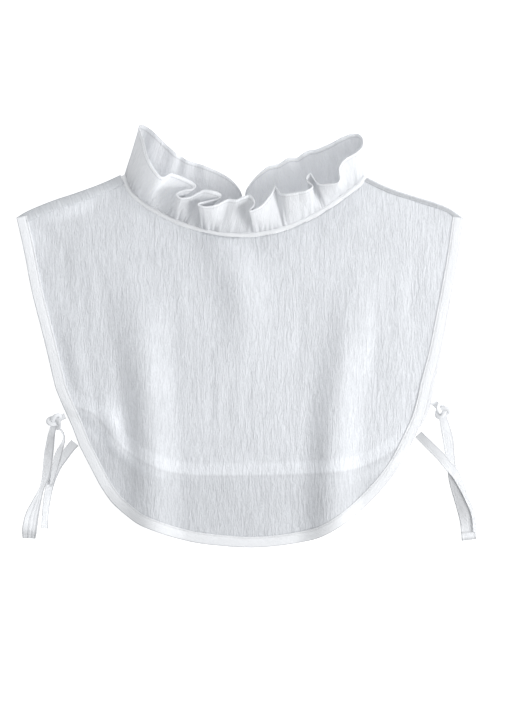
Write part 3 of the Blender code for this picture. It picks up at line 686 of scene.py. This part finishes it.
# %% Front bib
COLUMN_STEP = 1.05
FRONT_ROWS = 104
FRONT_WALL = 0.5
PANEL_TOP = 1.2
UNDER_BINDING = 1.0
UNDER_BAND = 0.6
UNDER_TURN = 0.5
ENDS_CUT = 4
LEAST_HEIGHT = 0.5


def upper_edge(x, rows, left_turn, right_turn):
    """Top of a bib at each x: the lower one of the shoulder and the neck seam."""
    left = moved_left(smooth_line(LEFT_SHOULDER, CURVE_STEPS), -left_turn)
    right = moved_left(smooth_line(RIGHT_SHOULDER, CURVE_STEPS), right_turn)[::-1]
    neck = rows[:, 1:3] + rows[:, 4:6] * (NECK_BAND_WIDTH - UNDER_BAND)
    neck = neck[np.argsort(neck[:, 0])]
    high = np.full(x.shape, np.inf)
    for line in (left, neck, right):
        high = np.minimum(high, np.interp(x, line[:, 0], line[:, 1], left=np.inf, right=np.inf))
    return high


def bib_columns(line, step):
    """Places across a bib, inside its binding, and the line that its lower edge follows."""
    inner = moved_left(line, BINDING_WIDTH - UNDER_BINDING)
    return np.arange(inner[ENDS_CUT, 0], inner[-1 - ENDS_CUT, 0], step), inner


def bib_grid(x, inner, high, rows):
    """Rows of places in each column, from the lower edge up to the height given."""
    low = np.interp(x, inner[:, 0], inner[:, 1])
    rise = np.maximum(high, low + LEAST_HEIGHT) - low
    share = np.linspace(0, 1, rows)[None, :]
    return np.repeat(x[:, None], rows, axis=1), low[:, None] + rise[:, None] * share


def front_bib():
    x, inner = bib_columns(FRONT_LINE, COLUMN_STEP)
    high = upper_edge(x, NECK_ROWS[1], LEFT_TURN - UNDER_TURN, RIGHT_TURN - UNDER_TURN)
    grid_x, grid_y = bib_grid(x, inner, high, FRONT_ROWS)
    height = front_underside(grid_x, grid_y) + PANEL_TOP - FRONT_WALL / 2 + front_creases(grid_x, grid_y)
    middle = np.stack([grid_x, grid_y, height], axis=2)
    piece, used = cloth_shell("front_bib", middle, FRONT_WALL, middle[:, :, :2])
    for name, field in (("outside_back", outside_back), ("painted_light_patches", painted_light_and_shade)):
        values = np.tile(field(grid_x, grid_y).ravel(), 2)[used]
        piece.data.attributes.new(name, "FLOAT", "POINT").data.foreach_set("value", values)
    return piece


# Painted light and shade in soft patches: x, y, half length, half width, turn in degrees, percent
LIGHT_AND_SHADE_PATCHES = [
    (-142, 110, 40, 10, 20, 15), (-172, 84, 30, 10, -76, 12), (-112, -66, 28, 15, -48, 13),
    (-121, -84, 34, 10, -43, 15), (-98, -104, 34, 10, -41, 15), (-80, -116, 26, 8, -28, 10),
    (-119, -110, 30, 14, -55, -4), (69, -108, 62, 11, -88, -10), (67, -152, 30, 15, -88, -10),
    (-89, -96, 62, 8, -89, -6), (-66, -108, 26, 12, -88, 4), (84, -40, 46, 9, -88, -3),
    (73, -100, 40, 8, -88, -6), (-112, 118, 14, 14, 0, -5), (-146, 60, 34, 14, -80, -3),
    (-73, -26, 52, 8, -89, 5), (-31, 46, 34, 11, -62, -4),
]


def painted_light_and_shade(x, y):
    """Painted light and shade on the front bib, in percent, from soft lighter and darker patches over the
    folds; the bright ones along the back hem's left curve also stand for the two layers showing through.
    """
    amount = np.zeros(x.shape)
    for centre_x, centre_y, half_length, half_width, turn, percent in LIGHT_AND_SHADE_PATCHES:
        lie = math.radians(turn)
        along = ((x - centre_x) * math.cos(lie) + (y - centre_y) * math.sin(lie)) / half_length
        across = ((y - centre_y) * math.cos(lie) - (x - centre_x) * math.sin(lie)) / half_width
        amount += percent * ease(1 - np.hypot(along, across))
    return np.clip(amount, LIGHT_AND_SHADE_PATCH_MARKS[0][0], LIGHT_AND_SHADE_PATCH_MARKS[-1][0])


# Creases pressed in: top x, top y, low x, low y, depth (below 0 a hollow), half width
CREASES = [
    (-50, 70, -46, -30, 0.5, 6), (-24, 10, -24, -110, -0.5, 6), (14, -10, 16, -100, 0.4, 7),
    (52, 60, 50, -60, -0.6, 8), (116, 70, 118, -50, -0.6, 8), (140, 70, 136, -20, 0.6, 8),
    (-130, 80, -124, 0, 0.7, 8), (-150, 90, -150, 20, -0.7, 8), (152, 80, 148, 0, -0.6, 8),
]


# Puckers all over: height, width, length in mm, seed
FRONT_PUCKERS = [(0.09, 2.4, 9, 11), (0.22, 9, 55, 13)]
DRIFT = 3.0


def front_creases(x, y):
    """Puckers all over, and the listed creases, in mm."""
    drift = DRIFT * hills(x, y, 40, 70, 3)
    height = np.zeros(x.shape)
    for tall, width, length, seed in FRONT_PUCKERS:
        height += tall * hills(x + drift, y, width, length, seed)
    for top_x, top_y, low_x, low_y, depth, half_width in CREASES:
        down = (top_y - y) / (top_y - low_y)
        away = np.abs(x - top_x - (low_x - top_x) * down + drift * 0.6)
        along = np.where((down > 0) & (down < 1), np.sin(math.pi * np.clip(down, 0, 1)) ** 1.3, 0)
        height += depth * along * (0.5 + 0.5 * np.cos(math.pi * np.clip(away / half_width, 0, 1)))
    return height


front_bib_piece = front_bib()
dress(front_bib_piece, FRONT_COTTON, "front_panel", "front_panel")

# %% [markdown]
# The back bib lies under the front one. It is cut down its centre as far as the slit goes, so the
# grid leaves out the faces between its two middle columns. Its cloth is folded over at the
# shoulders and sewn down on the front, which the turned strips show.

# %% Back bib
SLIT_X = 3.0
SLIT_HALF_WIDTH = 1.2
SLIT_LENGTH = 90.0
SLIT_TOP = 105.0
BACK_STEP = 2.0
BACK_ROWS = 90
BACK_WALL = 0.6
BACK_MIDDLE = 0.62
BACK_PUCKER = 0.10
SHOULDER_INSET = 1.9


def back_bib():
    x, inner = bib_columns(BACK_LINE, BACK_STEP)
    slit_sides = (SLIT_X - SLIT_HALF_WIDTH, SLIT_X + SLIT_HALF_WIDTH)
    x = np.sort(np.append(x[np.abs(x - SLIT_X) > BACK_STEP], slit_sides))
    high = upper_edge(x, np.vstack([NECK_ROWS[0], NECK_ROWS[2]]), SHOULDER_INSET, SHOULDER_INSET)
    grid_x, grid_y = bib_grid(x, inner, high, BACK_ROWS)
    puckers = hills(grid_x, grid_y, 3, 20, 21) + hills(grid_x, grid_y, 9, 50, 22)
    middle = np.stack([grid_x, grid_y, BACK_MIDDLE + BACK_PUCKER * puckers], axis=2)
    in_slit = np.abs(x[:-1] - slit_sides[0]) < TINY
    cut_out = in_slit[:, None] & (grid_y[:-1, :-1] > SLIT_TOP - NECK_BAND_WIDTH - SLIT_LENGTH)
    return cloth_shell("back_bib", middle, BACK_WALL, middle[:, :, :2], cut_out)[0]


# Section of a turned shoulder: share of the turn in from the fold, height in mm
TURN_SECTION = [
    (0.27, 0.45), (0.13, 0.50), (0.04, 0.80), (0, 1.30), (0.04, 1.90), (0.17, 2.70), (0.38, 3.40),
    (0.66, 3.90), (0.95, 4.15), (1.12, 4.15), (1.18, 3.70),
]


SHOULDER_POINTS = 150
SHOULDER_STEP = 0.7
SECTION_STEP = 0.8
SAG = 0.25
SAG_LIMIT = 0.6


def shoulder_turn(name, shoulder, turn, sign):
    """The strip of the back bib's cloth that is rolled over onto the front, from end to end."""
    line = spread(smooth_line(shoulder, CURVE_STEPS), SHOULDER_POINTS)
    outward = left_sides(line) * sign
    middle = []
    for share, height in TURN_SECTION:
        wave = hills(np.arange(len(line)) * SHOULDER_STEP, share * turn, 6, 6, 23)
        sag = SAG * wave * min(share, SAG_LIMIT)
        middle.append(np.column_stack([line - outward * share * turn, height + sag]))
    middle = np.stack(middle, axis=1)[::sign]
    across = np.arange(len(TURN_SECTION)) * SECTION_STEP
    lengths = np.stack(np.meshgrid(lengths_along(line), across, indexing="ij"), axis=2)
    return cloth_shell(name, middle, BACK_WALL, lengths)[0]


back_bib_piece = back_bib()
dress(back_bib_piece, BACK_COTTON, "back_panel", "back_panel")
left_turn_piece = shoulder_turn("shoulder_turn_left", LEFT_SHOULDER, LEFT_TURN, 1)
right_turn_piece = shoulder_turn("shoulder_turn_right", RIGHT_SHOULDER, RIGHT_TURN, -1)
dress(left_turn_piece, LEFT_TURN_COTTON, "back_panel")
dress(right_turn_piece, RIGHT_TURN_COTTON, "back_panel")

# %% [markdown]
# A bias binding is a strip folded round the raw edge and stitched through near its inner side. Its
# cross-section is drawn once, with a round outer fold and a small drop inside, and swept along the
# edge. The sewing pulls it into shallow puckers that slant a little, because the strip is on the bias.

# %% Bindings
SECTION = [
    (0.05, 0.50), (0.10, 0.80), (0.45, 0.97), (1.40, 1.00), (4.00, 1.04), (6.60, 1.02), (7.70, 0.97),
    (8.20, 0.86), (8.70, 0.98), (9.20, 0.96), (9.50, 0.80), (9.50, 0.20), (9.20, 0.03), (4.75, 0),
    (0.60, 0.02), (0.10, 0.20),
]


BINDING_SEAM = 8.2
SEAM_DENT = 0.25
DENT_WIDTH = 0.5
SLANT = 0.8
FLOOR_GAP = 0.02


def binding_piece(name, line, base_height, seed):
    """A swept strip: base_height gives the height of its underside at each place."""
    marks = lengths_along(line)
    sides = left_sides(line)
    inward = np.array([inset for inset, share in SECTION])
    raised = np.array([share for inset, share in SECTION])
    place = line[:, None, :] + sides[:, None, :] * inward[None, :, None]
    slant = marks[:, None] + inward[None, :] * SLANT
    pucker = (0.20 * hills(slant, inward[None, :], 3.2, 12, seed)
              + 0.34 * hills(slant, inward[None, :], 11, 30, seed + 1)) * np.sin(math.pi * raised / 1.1)
    near_seam = np.exp(-((inward - BINDING_SEAM) / DENT_WIDTH) ** 2) * (raised > 0.5)
    pull = (0.5 + 0.5 * hills(marks, 0 * marks, 1.2, 9, seed + 2))[:, None]
    pucker -= SEAM_DENT * near_seam * pull
    height = base_height(place[:, :, 0], place[:, :, 1]) + raised[None, :] * BINDING_WALL + pucker
    height = np.maximum(height, FLOOR_GAP)
    return tube(name, np.dstack([place, height]), marks, inward + raised * 0.5)


def tube(name, rings, marks, around):
    """A closed piece from rings of points in mm, capped at both ends."""
    stations, corners = rings.shape[:2]
    number = np.arange(stations * corners).reshape(stations, corners)
    follow = np.roll(number, -1, axis=1)
    quads = np.stack([number[:-1], number[1:], follow[1:], follow[:-1]], axis=2).reshape(-1, 4)
    faces = quads.tolist() + [number[0].tolist(), number[-1][::-1].tolist()]
    uv = np.stack(np.meshgrid(around, marks), axis=2)
    piece = add_piece(name, rings.reshape(-1, 3), faces, uv.reshape(-1, 2))
    point_outwards(piece)
    return piece


def point_outwards(piece):
    """Turns all faces of a closed piece outwards in edit mode."""
    bpy.ops.object.select_all(action="DESELECT")
    piece.select_set(True)
    bpy.context.view_layer.objects.active = piece
    bpy.ops.object.mode_set(mode="EDIT")
    bpy.ops.mesh.select_all(action="SELECT")
    bpy.ops.mesh.normals_make_consistent(inside=False)
    bpy.ops.object.mode_set(mode="OBJECT")
    piece.select_set(False)


def on_surface(x, y):
    return np.zeros(x.shape)


front_binding_piece = binding_piece("front_bib_binding", FRONT_LINE, front_underside, 31)
dress(front_binding_piece, BINDING_COTTON, "front_binding", "front_binding")
back_binding_piece = binding_piece("back_bib_binding", BACK_LINE, on_surface, 41)
dress(back_binding_piece, BINDING_COTTON, "back_binding", "back_binding")

# %% [markdown]
# The neck band is a narrow folded strip. The ruffle's gathers push it into small waves, so its
# section wobbles along its way.

# %% Neck band
BAND_SECTION = [
    (0.1, -0.5), (0.1, 0.4), (0.5, 0.85), (2.3, 0.95), (4.1, 0.85), (4.6, 0.4), (4.6, -0.5),
    (4.1, -0.78), (0.5, -0.78),
]


BAND_WAVE = 0.22


def neck_band():
    marks = lengths_along(NECK[:, 1:4])
    offset = np.array([inset for inset, height in BAND_SECTION])
    height = np.array([height for inset, height in BAND_SECTION])
    rings = np.empty((len(NECK), len(BAND_SECTION), 3))
    rings[:, :, :2] = NECK[:, None, 1:3] + NECK[:, None, 4:6] * offset[None, :, None]
    wave = BAND_WAVE * hills(marks, 0 * marks, 4.5, 9, 51)[:, None] * (height > 0)
    rings[:, :, 2] = NECK[:, None, 3] + height[None, :] + wave
    return tube("gathered_neck_band", rings, marks, offset + height)


neck_band_piece = neck_band()
dress(neck_band_piece, BAND_COTTON, "neck_band", "neck_band")

# %% [markdown]
# The ruffle is the garment's face. It is one straight strip, gathered into the neck band, so its
# free edge has to fold back and forth. A table gives that folded edge, one row for each bend, and
# the strip runs from its place on the neck seam to it. Small gathers start at the seam and die away.
# The free edge carries a narrow double hem.

# %% The ruffle's folded edge: seam, z, x, y in mm
RUFFLE_FOLDS = [
    (0.028, 2.5, -0.5, 109.5), (0.036, 3.5, 1.2, 115), (0.050, 5, 1.8, 121), (0.072, 6, 0, 126),
    (0.115, 7, -4, 131.5), (0.175, 9, -9.5, 136.5), (0.250, 8, -19, 142), (0.330, 10, -29.5, 146.5),
    (0.420, 8, -37, 149), (0.500, 10, -45, 151.5), (0.580, 8, -50.5, 155), (0.650, 11, -55.5, 158),
    (0.760, 8, -64, 166), (0.860, 9, -71.5, 173.5), (0.940, 5, -78.5, 179.5), (0.980, 5, -83, 182),
    (1.000, 8, -86, 182), (1.015, 13, -86.5, 178), (1.040, 21, -83, 169), (1.075, 33, -79, 154),
    (1.110, 38, -72.5, 142), (1.138, 38, -65.5, 135.5), (1.164, 34, -58, 139), (1.192, 33, -46.5, 135),
    (1.208, 34, -38.5, 130.5), (1.217, 36, -38.5, 126.5), (1.229, 36, -46.5, 125),
    (1.242, 36, -53.5, 122.5), (1.258, 37, -51, 118.5), (1.278, 36, -42.5, 119),
    (1.298, 33, -30.5, 125), (1.314, 34, -22.5, 124), (1.326, 33, -16, 121.5), (1.335, 34, -18, 118),
    (1.346, 37, -27, 115.5), (1.358, 40, -36, 113), (1.373, 41, -30, 110.5), (1.394, 41, -20, 112),
    (1.418, 37, -10, 117), (1.446, 38, -3, 116.5), (1.476, 37, 4, 119.5), (1.502, 37, 9.5, 120),
    (1.524, 40, 12.5, 113.5), (1.545, 43, 8, 107), (1.578, 41, 18, 111), (1.612, 35, 26.5, 121.5),
    (1.638, 31, 30, 128), (1.657, 34, 33.5, 123), (1.680, 38, 39.5, 121.5), (1.720, 39, 50, 123),
    (1.750, 40, 57, 124.5), (1.770, 38, 62, 128.5), (1.784, 36, 56.5, 134), (1.797, 34, 60, 139),
    (1.815, 40, 66, 130.5), (1.845, 43, 75, 129.5), (1.880, 43, 84.5, 132), (1.905, 40, 84.5, 143.5),
    (1.930, 36, 90, 151.5), (1.955, 31, 100, 157.5), (1.980, 25, 105, 163.5), (2.000, 18, 105.5, 169.5),
    (2.030, 12, 102, 174), (2.080, 10, 95, 174), (2.150, 10, 87, 171), (2.210, 8, 80.5, 167.5),
    (2.270, 10, 74.5, 164.5), (2.330, 8, 65.5, 161), (2.390, 11, 59.5, 160), (2.430, 12, 54.5, 157.5),
    (2.480, 8, 49, 154), (2.540, 11, 41.5, 153.5), (2.635, 8, 33, 148.5), (2.740, 10, 24, 146),
    (2.860, 7, 14.5, 138.5), (2.915, 6, 9, 132), (2.938, 5, 5.5, 126.5), (2.955, 4.5, 4.2, 121),
    (2.967, 3.5, 4.8, 115), (2.975, 2.5, 6.5, 109.5),
]
RUFFLE_SET_BACK = -0.5
RUFFLE_HEIGHT = 47.0
RUFFLE_WALL = 0.5
HEM_WALL = 1.05
HEM_SHARE = 0.93
print(f"ruffle edge: {len(RUFFLE_FOLDS)} bends")

# %% Ruffle
RUFFLE_STEPS = 14
RUFFLE_SHARES = np.concatenate([np.linspace(0, 0.9, 25), [0.918, HEM_SHARE, 0.942, 0.96, 0.98, 1.0]])
LYING_HEIGHT = 8.0
STANDING_RISE = 20.0
# How far the standing cloth bows, out and up
BOW_OUT = 0.35
BOW_UP = 0.5
# Share of the height in which the gathers begin and die away
GATHER_START = 0.06
GATHER_END = 0.42


def ruffle_middle():
    edge = smooth_line(RUFFLE_FOLDS, RUFFLE_STEPS)
    seam = edge[:, 0]
    base = np.column_stack([np.interp(seam, NECK[:, 0], column) for column in NECK.T[1:]])
    start = base[:, :2] - base[:, 3:5] * RUFFLE_SET_BACK
    standing = ease((edge[:, 1] - LYING_HEIGHT) / STANDING_RISE)
    width = lengths_along(edge[:, 1:])
    rows = []
    for share in RUFFLE_SHARES:
        lean = (share ** (1 + BOW_OUT * standing))[:, None]
        rise = 1 - (1 - share) ** (1 + BOW_UP * standing)
        flat = start + (edge[:, 2:] - start) * lean
        rows.append(np.column_stack([flat, base[:, 2] + (edge[:, 1] - base[:, 2]) * rise]))
    middle = np.stack(rows, axis=1)
    normal = normals_of(middle)
    across = RUFFLE_SHARES[None, :] * RUFFLE_HEIGHT
    dying = np.exp(-(RUFFLE_SHARES / GATHER_END) ** 2)[None, :]
    gather = 1.1 * hills(width[:, None], across, 3.6, 60, 61) * dying
    gather += 0.5 * hills(width[:, None], across, 9.0, 60, 62) * (1 - RUFFLE_SHARES)[None, :]
    gather += 0.12 * hills(width[:, None], across, 2.4, 14, 63)
    gather *= ease(RUFFLE_SHARES / GATHER_START)[None, :]
    middle += normal * gather[:, :, None]
    middle[:, :, 2] = np.maximum(middle[:, :, 2], 0.5)
    return middle, width, seam


ruffle_points, ruffle_width, edge_seams = ruffle_middle()
ruffle_wall = np.where(RUFFLE_SHARES > HEM_SHARE + TINY, HEM_WALL, RUFFLE_WALL)[None, :]
ruffle_lengths = np.stack(np.meshgrid(ruffle_width, RUFFLE_SHARES * RUFFLE_HEIGHT, indexing="ij"), axis=2)
ruffle_piece = cloth_shell("gathered_ruffle", ruffle_points, ruffle_wall, ruffle_lengths)[0]
dress(ruffle_piece, RUFFLE_COTTON, "ruffle", "ruffle")
turns = np.interp([1.0, 2.0], edge_seams, ruffle_width)
print(f"ruffle edge is {ruffle_width[-1]:.0f} mm long, and turns at {turns[0]:.0f} and {turns[1]:.0f} mm")

# %% [markdown]
# Each tie is one flat strip, folded and stitched, that leaves its binding and lies loose. The back
# ties are knotted close to the binding. A tie's route is the CAD's: x, y, underside z, width and how
# far the strip rolls over about its own line, in degrees.

# %% Tie routes
TIE_ROUTES = {
    "tie_front_left": [
        (-142.4, -92, 0, 8, 0), (-147, -97.5, 0, 8, 10), (-152, -104.5, 0, 8, 14),
        (-158, -113.5, 0, 7.5, 10), (-163.5, -127, 0, 7, 2), (-166.5, -141.5, 0, 6.5, -8),
        (-168, -154.5, 0, 6, -12), (-168.5, -166, 0, 6, -8),
    ],
    "tie_back_left": [
        (-150.9, -68.7, 0.2, 5, 0), (-155, -70.6, 0.9, 5, 0), (-159.5, -73.5, 1.6, 4.5, 0),
        (-161.3, -79.2, 1, 5.5, 8), (-163, -87, 0.2, 7, 14), (-164, -95, 0, 8, 16),
        (-164.8, -100, 0.7, 8.5, 16), (-165.5, -107, 1.9, 8.5, 14), (-167.5, -121, 1.9, 7, 10),
        (-171, -131, 1.9, 4.5, 0), (-175.5, -143, 0.6, 8, -12), (-179.5, -155, 0, 12, -14),
        (-181.5, -166, 0, 13, -12), (-182, -174.5, 0, 11.5, 8),
    ],
    "tie_front_right": [
        (154, -84.5, 0.8, 8, 22), (159, -89.5, 1.2, 8, 18), (165, -95.5, 1.9, 8, 10),
        (173.5, -104, 1.9, 8, 5), (180, -112, 1.9, 8, 0), (186.3, -119.5, 1.9, 7.6, 0),
        (190, -127, 1.9, 6, 0), (193.2, -134, 1.9, 4.6, 0), (196.6, -142, 1.9, 3.8, 0),
        (199.8, -150, 1.9, 3.2, 0), (201.8, -158, 1.9, 3, 0), (202.6, -169, 1.9, 3, 0),
    ],
    "tie_back_right": [
        (167, -56.5, 0, 6, 0), (170.3, -60.1, 0.7, 5, 0), (174.5, -64.5, 1.4, 4.5, 0),
        (175.2, -69, 0.3, 6.5, 0), (177.5, -79, 0, 8.5, 0), (180, -90, 0, 9.5, 0),
        (181.5, -103.5, 0, 8.5, 0), (183, -114, 0, 8, 0), (185, -124, 0, 9.5, 1), (188, -133, 0, 11, 2),
        (192.6, -146.6, 0, 12, 2), (196, -160, 0, 12.5, 1), (198, -176, 0, 13, 0),
    ],
}
SLACK_STRAND = [
    (-157.2, -78.5, 1.6, 2, 0), (-153.4, -82.5, 1.4, 2, 0), (-151.8, -88, 1.2, 2.2, 0),
    (-153.8, -94.5, 1.4, 4, 0), (-156.6, -101.5, 1.6, 5.6, 0), (-158.9, -110.5, 1.7, 5.8, 0),
    (-161.1, -119.5, 1.8, 4.4, 0), (-163, -128, 2, 2.4, 0),
]
TIE_ROOTS = {"tie_back_left": ["tie_root_left"], "tie_back_right": ["tie_root_right"]}
# Knot, x, y, turn in degrees
KNOTS = {
    "tie_back_left": ("knot_left", -159.5, -73.5, 25.0),
    "tie_back_right": ("knot_right", 174.5, -64.5, -40.0),
}
TIE_STEPS = 14
TIE_WALL = 1.3
TIE_HEM = 5.0
TIE_HEM_RISE = 0.6
# The left back tie opens into a loose fold from this far on, with two creases along it
CREASED_FROM = {"tie_back_left": 72.0}
NOT_CREASED = 1000.0
CREASE_SHARES = (-0.16, 0.14)
CREASE_DEPTH = 0.55
CREASE_WIDTH = 0.03
CREASE_START = 12.0

# A folded strip's section: share of the width, share of the wall
TIE_SECTION = [
    (-0.5, 0), (-0.47, 0.42), (-0.40, 0.55), (-0.36, 0.42), (-0.26, 0.47), (-0.20, 0.49), (-0.16, 0.50),
    (-0.12, 0.50), (0, 0.50), (0.10, 0.50), (0.14, 0.50), (0.18, 0.49), (0.26, 0.47), (0.36, 0.42),
    (0.40, 0.55), (0.47, 0.42), (0.5, 0), (0.47, -0.45), (0, -0.5), (-0.47, -0.45),
]


def tie_strip(name, rows, seed, creased_from=NOT_CREASED):
    """A folded strip along its route, thicker over the hem at its free end."""
    line = smooth_line(rows, TIE_STEPS)
    marks = lengths_along(line[:, :3])
    sides = left_sides(line)
    roll = np.radians(line[:, 4])
    share = np.array([across for across, up in TIE_SECTION])
    wall = np.array([up for across, up in TIE_SECTION])
    across = line[:, 3:4] * share
    from_end = marks[-1] - marks
    hem = 0.5 * ease((TIE_HEM - from_end) / TIE_HEM_RISE) * ease((from_end + TIE_HEM_RISE) / 1.2)
    pucker = 0.22 * hills(marks[:, None], share * 3, 7, 2, seed)
    pucker += 0.12 * hills(marks[:, None], share * 3, 2.5, 2, seed)
    up = (TIE_WALL * (1 + hem))[:, None] * wall + pucker * (np.abs(share) < 0.45)
    for crease in CREASE_SHARES:
        sunk = CREASE_DEPTH * np.exp(-((share - crease) / CREASE_WIDTH) ** 2) * (wall > 0)
        up -= ease((marks - creased_from) / CREASE_START)[:, None] * sunk
    flat = across * np.cos(roll)[:, None] - up * np.sin(roll)[:, None]
    rise = across * np.sin(roll)[:, None] + up * np.cos(roll)[:, None]
    rise += line[:, 2:3] + TIE_WALL / 2 + 0.5 * line[:, 3:4] * np.abs(np.sin(roll))[:, None]
    place = line[:, None, :2] + sides[:, None, :] * flat[:, :, None]
    rings = np.dstack([place, np.maximum(rise, FLOOR_GAP)])
    strip = tube(name, rings, marks, share * 8 + wall)
    return strip, np.column_stack([line[:, :2], rings[:, :, 2].mean(axis=1)]) * MM


print("ties:", ", ".join(TIE_ROUTES))

# %% [markdown]
# A knot in a soft strip is a tight overhand knot. Its path is a trefoil, drawn small so that the
# strip's turns press on each other, with a flattened section that stays crosswise to the path.

# %% Knots
KNOT_SIZE = 2.05
KNOT_HEIGHT = 2.6
KNOT_RISE = 1.5
KNOT_STEPS = 96
KNOT_CORNERS = 14
STRAND_WIDTH = 1.9
STRAND_THICKNESS = 1.05
STRAND_EDGE = 2.5


def overhand_knot(name, x, y, turn):
    angle = np.linspace(0, 2 * math.pi, KNOT_STEPS + 1)
    lie = math.radians(turn)
    flat_x = (np.sin(angle) + 2 * np.sin(2 * angle)) * KNOT_SIZE
    flat_y = (np.cos(angle) - 2 * np.cos(2 * angle)) * KNOT_SIZE
    path = np.column_stack([x + flat_x * math.cos(lie) - flat_y * math.sin(lie),
                            y + flat_x * math.sin(lie) + flat_y * math.cos(lie),
                            KNOT_HEIGHT - KNOT_RISE * np.sin(3 * angle)])
    along = np.gradient(path, axis=0)
    along[0] = along[-1] = path[1] - path[-2]
    along /= np.linalg.norm(along, axis=1)[:, None]
    outward = path - np.array([x, y, KNOT_HEIGHT])
    outward -= along * np.sum(outward * along, axis=1)[:, None]
    outward /= np.linalg.norm(outward, axis=1)[:, None]
    upward = np.cross(along, outward)
    rings = []
    for part in np.linspace(0, 2 * math.pi, KNOT_CORNERS + 1)[:-1]:
        across = outward * math.cos(part) * STRAND_WIDTH
        rings.append(path + across + upward * math.sin(part) * STRAND_THICKNESS)
    rings = np.stack(rings, axis=1)
    rings[:, :, 2] = np.maximum(rings[:, :, 2], 0.1)
    return tube(name, rings, lengths_along(path), np.linspace(-STRAND_EDGE, STRAND_EDGE, KNOT_CORNERS))


for number, (tie_name, route) in enumerate(TIE_ROUTES.items()):
    creased_from = CREASED_FROM.get(tie_name, NOT_CREASED)
    strip, strip_path = tie_strip(tie_name + "_strip", route, 71 + number, creased_from)
    dress(strip, TIE_COTTONS[tie_name], "tie", tie_name, *TIE_ROOTS.get(tie_name, []))
    if tie_name in KNOTS:
        knot_name, knot_x, knot_y, knot_turn = KNOTS[tie_name]
        knot = overhand_knot(knot_name + "_overhand", knot_x, knot_y, knot_turn)
        dress(knot, TIE_COTTONS["knots"], "tie", knot_name)
    if tie_name == "tie_back_left":
        slack = tie_strip("slack_strand", SLACK_STRAND, 91)[0]
        dress(slack, TIE_COTTONS["slack_strand"], "tie")

# %% [markdown]
# Stitches are small raised beads of thread. One bead is modelled as a stretched ball, and a row of
# copies is joined into one piece for each seam.

# %% One stitch
STITCH_LENGTH = 1.7
STITCH_WIDTH = 0.38
STITCH_HEIGHT = 0.34
STITCH_STEP = 2.5

bpy.ops.mesh.primitive_uv_sphere_add(segments=6, ring_count=4, radius=0.5)
bead = bpy.context.object
bpy.ops.transform.resize(value=(STITCH_LENGTH, STITCH_WIDTH, STITCH_HEIGHT))
bpy.ops.object.transform_apply(location=False, rotation=False, scale=True)
BEAD_POINTS = np.array([vertex.co[:] for vertex in bead.data.vertices])
BEAD_FACES = [tuple(face.vertices) for face in bead.data.polygons]
bpy.data.objects.remove(bead, do_unlink=True)
print(f"one bead has {len(BEAD_FACES)} faces")

# %% Rows of stitches
THREAD = cotton("sewing_thread", (0.84, 0.85, 0.87), 0.1, 0.02)
STRAIGHT_UP = (0.0, 0.0, 1.0)
SUNK = 0.32
BAND_SEAM = 3.9
BAND_TOP = 0.86
RUFFLE_SEAM = 0.34


def read_at(places, marks, table):
    """Each column of a table, read between its rows at the places along it."""
    return np.column_stack([np.interp(places, marks, column) for column in table.T])


def stitch_row(name, path, up):
    """Beads along a path in mm; up is each point's outward direction."""
    marks = lengths_along(path)
    centres = np.arange(STITCH_STEP / 2, marks[-1], STITCH_STEP)
    at = read_at(centres, marks, path)
    out = read_at(centres, marks, up)
    along = read_at(centres + 0.5, marks, path) - read_at(centres - 0.5, marks, path)
    along /= np.maximum(np.linalg.norm(along, axis=1), 1e-6)[:, None]
    out -= along * np.sum(out * along, axis=1)[:, None]
    out /= np.maximum(np.linalg.norm(out, axis=1), 1e-6)[:, None]
    aside = np.cross(out, along)
    points = (at[:, None, :] + BEAD_POINTS[None, :, :1] * along[:, None, :]
              + BEAD_POINTS[None, :, 1:2] * aside[:, None, :] + BEAD_POINTS[None, :, 2:] * out[:, None, :])
    faces = [tuple(corner + row * len(BEAD_POINTS) for corner in face)
             for row in range(len(at)) for face in BEAD_FACES]
    print(f"{name}: {len(at)} stitches")
    return add_piece(name, points.reshape(-1, 3), faces)


def binding_stitches(name, line, base_height):
    place = moved_left(line, BINDING_SEAM)
    height = base_height(place[:, 0], place[:, 1]) + BINDING_WALL - SUNK
    return stitch_row(name, np.column_stack([place, height]), np.tile(STRAIGHT_UP, (len(line), 1)))


def ruffle_stitches(name, side):
    row = int(np.argmin(np.abs(RUFFLE_SHARES - HEM_SHARE)))
    outward = normals_of(ruffle_points)[:, row] * side
    return stitch_row(name, ruffle_points[:, row] + outward * RUFFLE_SEAM, outward)


front_thread = binding_stitches("front_binding_stitches", FRONT_LINE, front_underside)
back_thread = binding_stitches("back_binding_stitches", BACK_LINE, on_surface)
band_path = np.column_stack([NECK[:, 1:3] + NECK[:, 4:6] * BAND_SEAM, NECK[:, 3] + BAND_TOP])
band_thread = stitch_row("neck_band_stitches", band_path, np.tile(STRAIGHT_UP, (len(NECK), 1)))
outer_thread = ruffle_stitches("ruffle_hem_stitches_outside", 1)
inner_thread = ruffle_stitches("ruffle_hem_stitches_inside", -1)
for thread_piece, slot in ((front_thread, "front_binding"), (back_thread, "back_binding"),
                           (band_thread, "neck_band"), (outer_thread, "ruffle"), (inner_thread, "ruffle")):
    thread_piece.data.materials.append(THREAD)
    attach(thread_piece, "root")
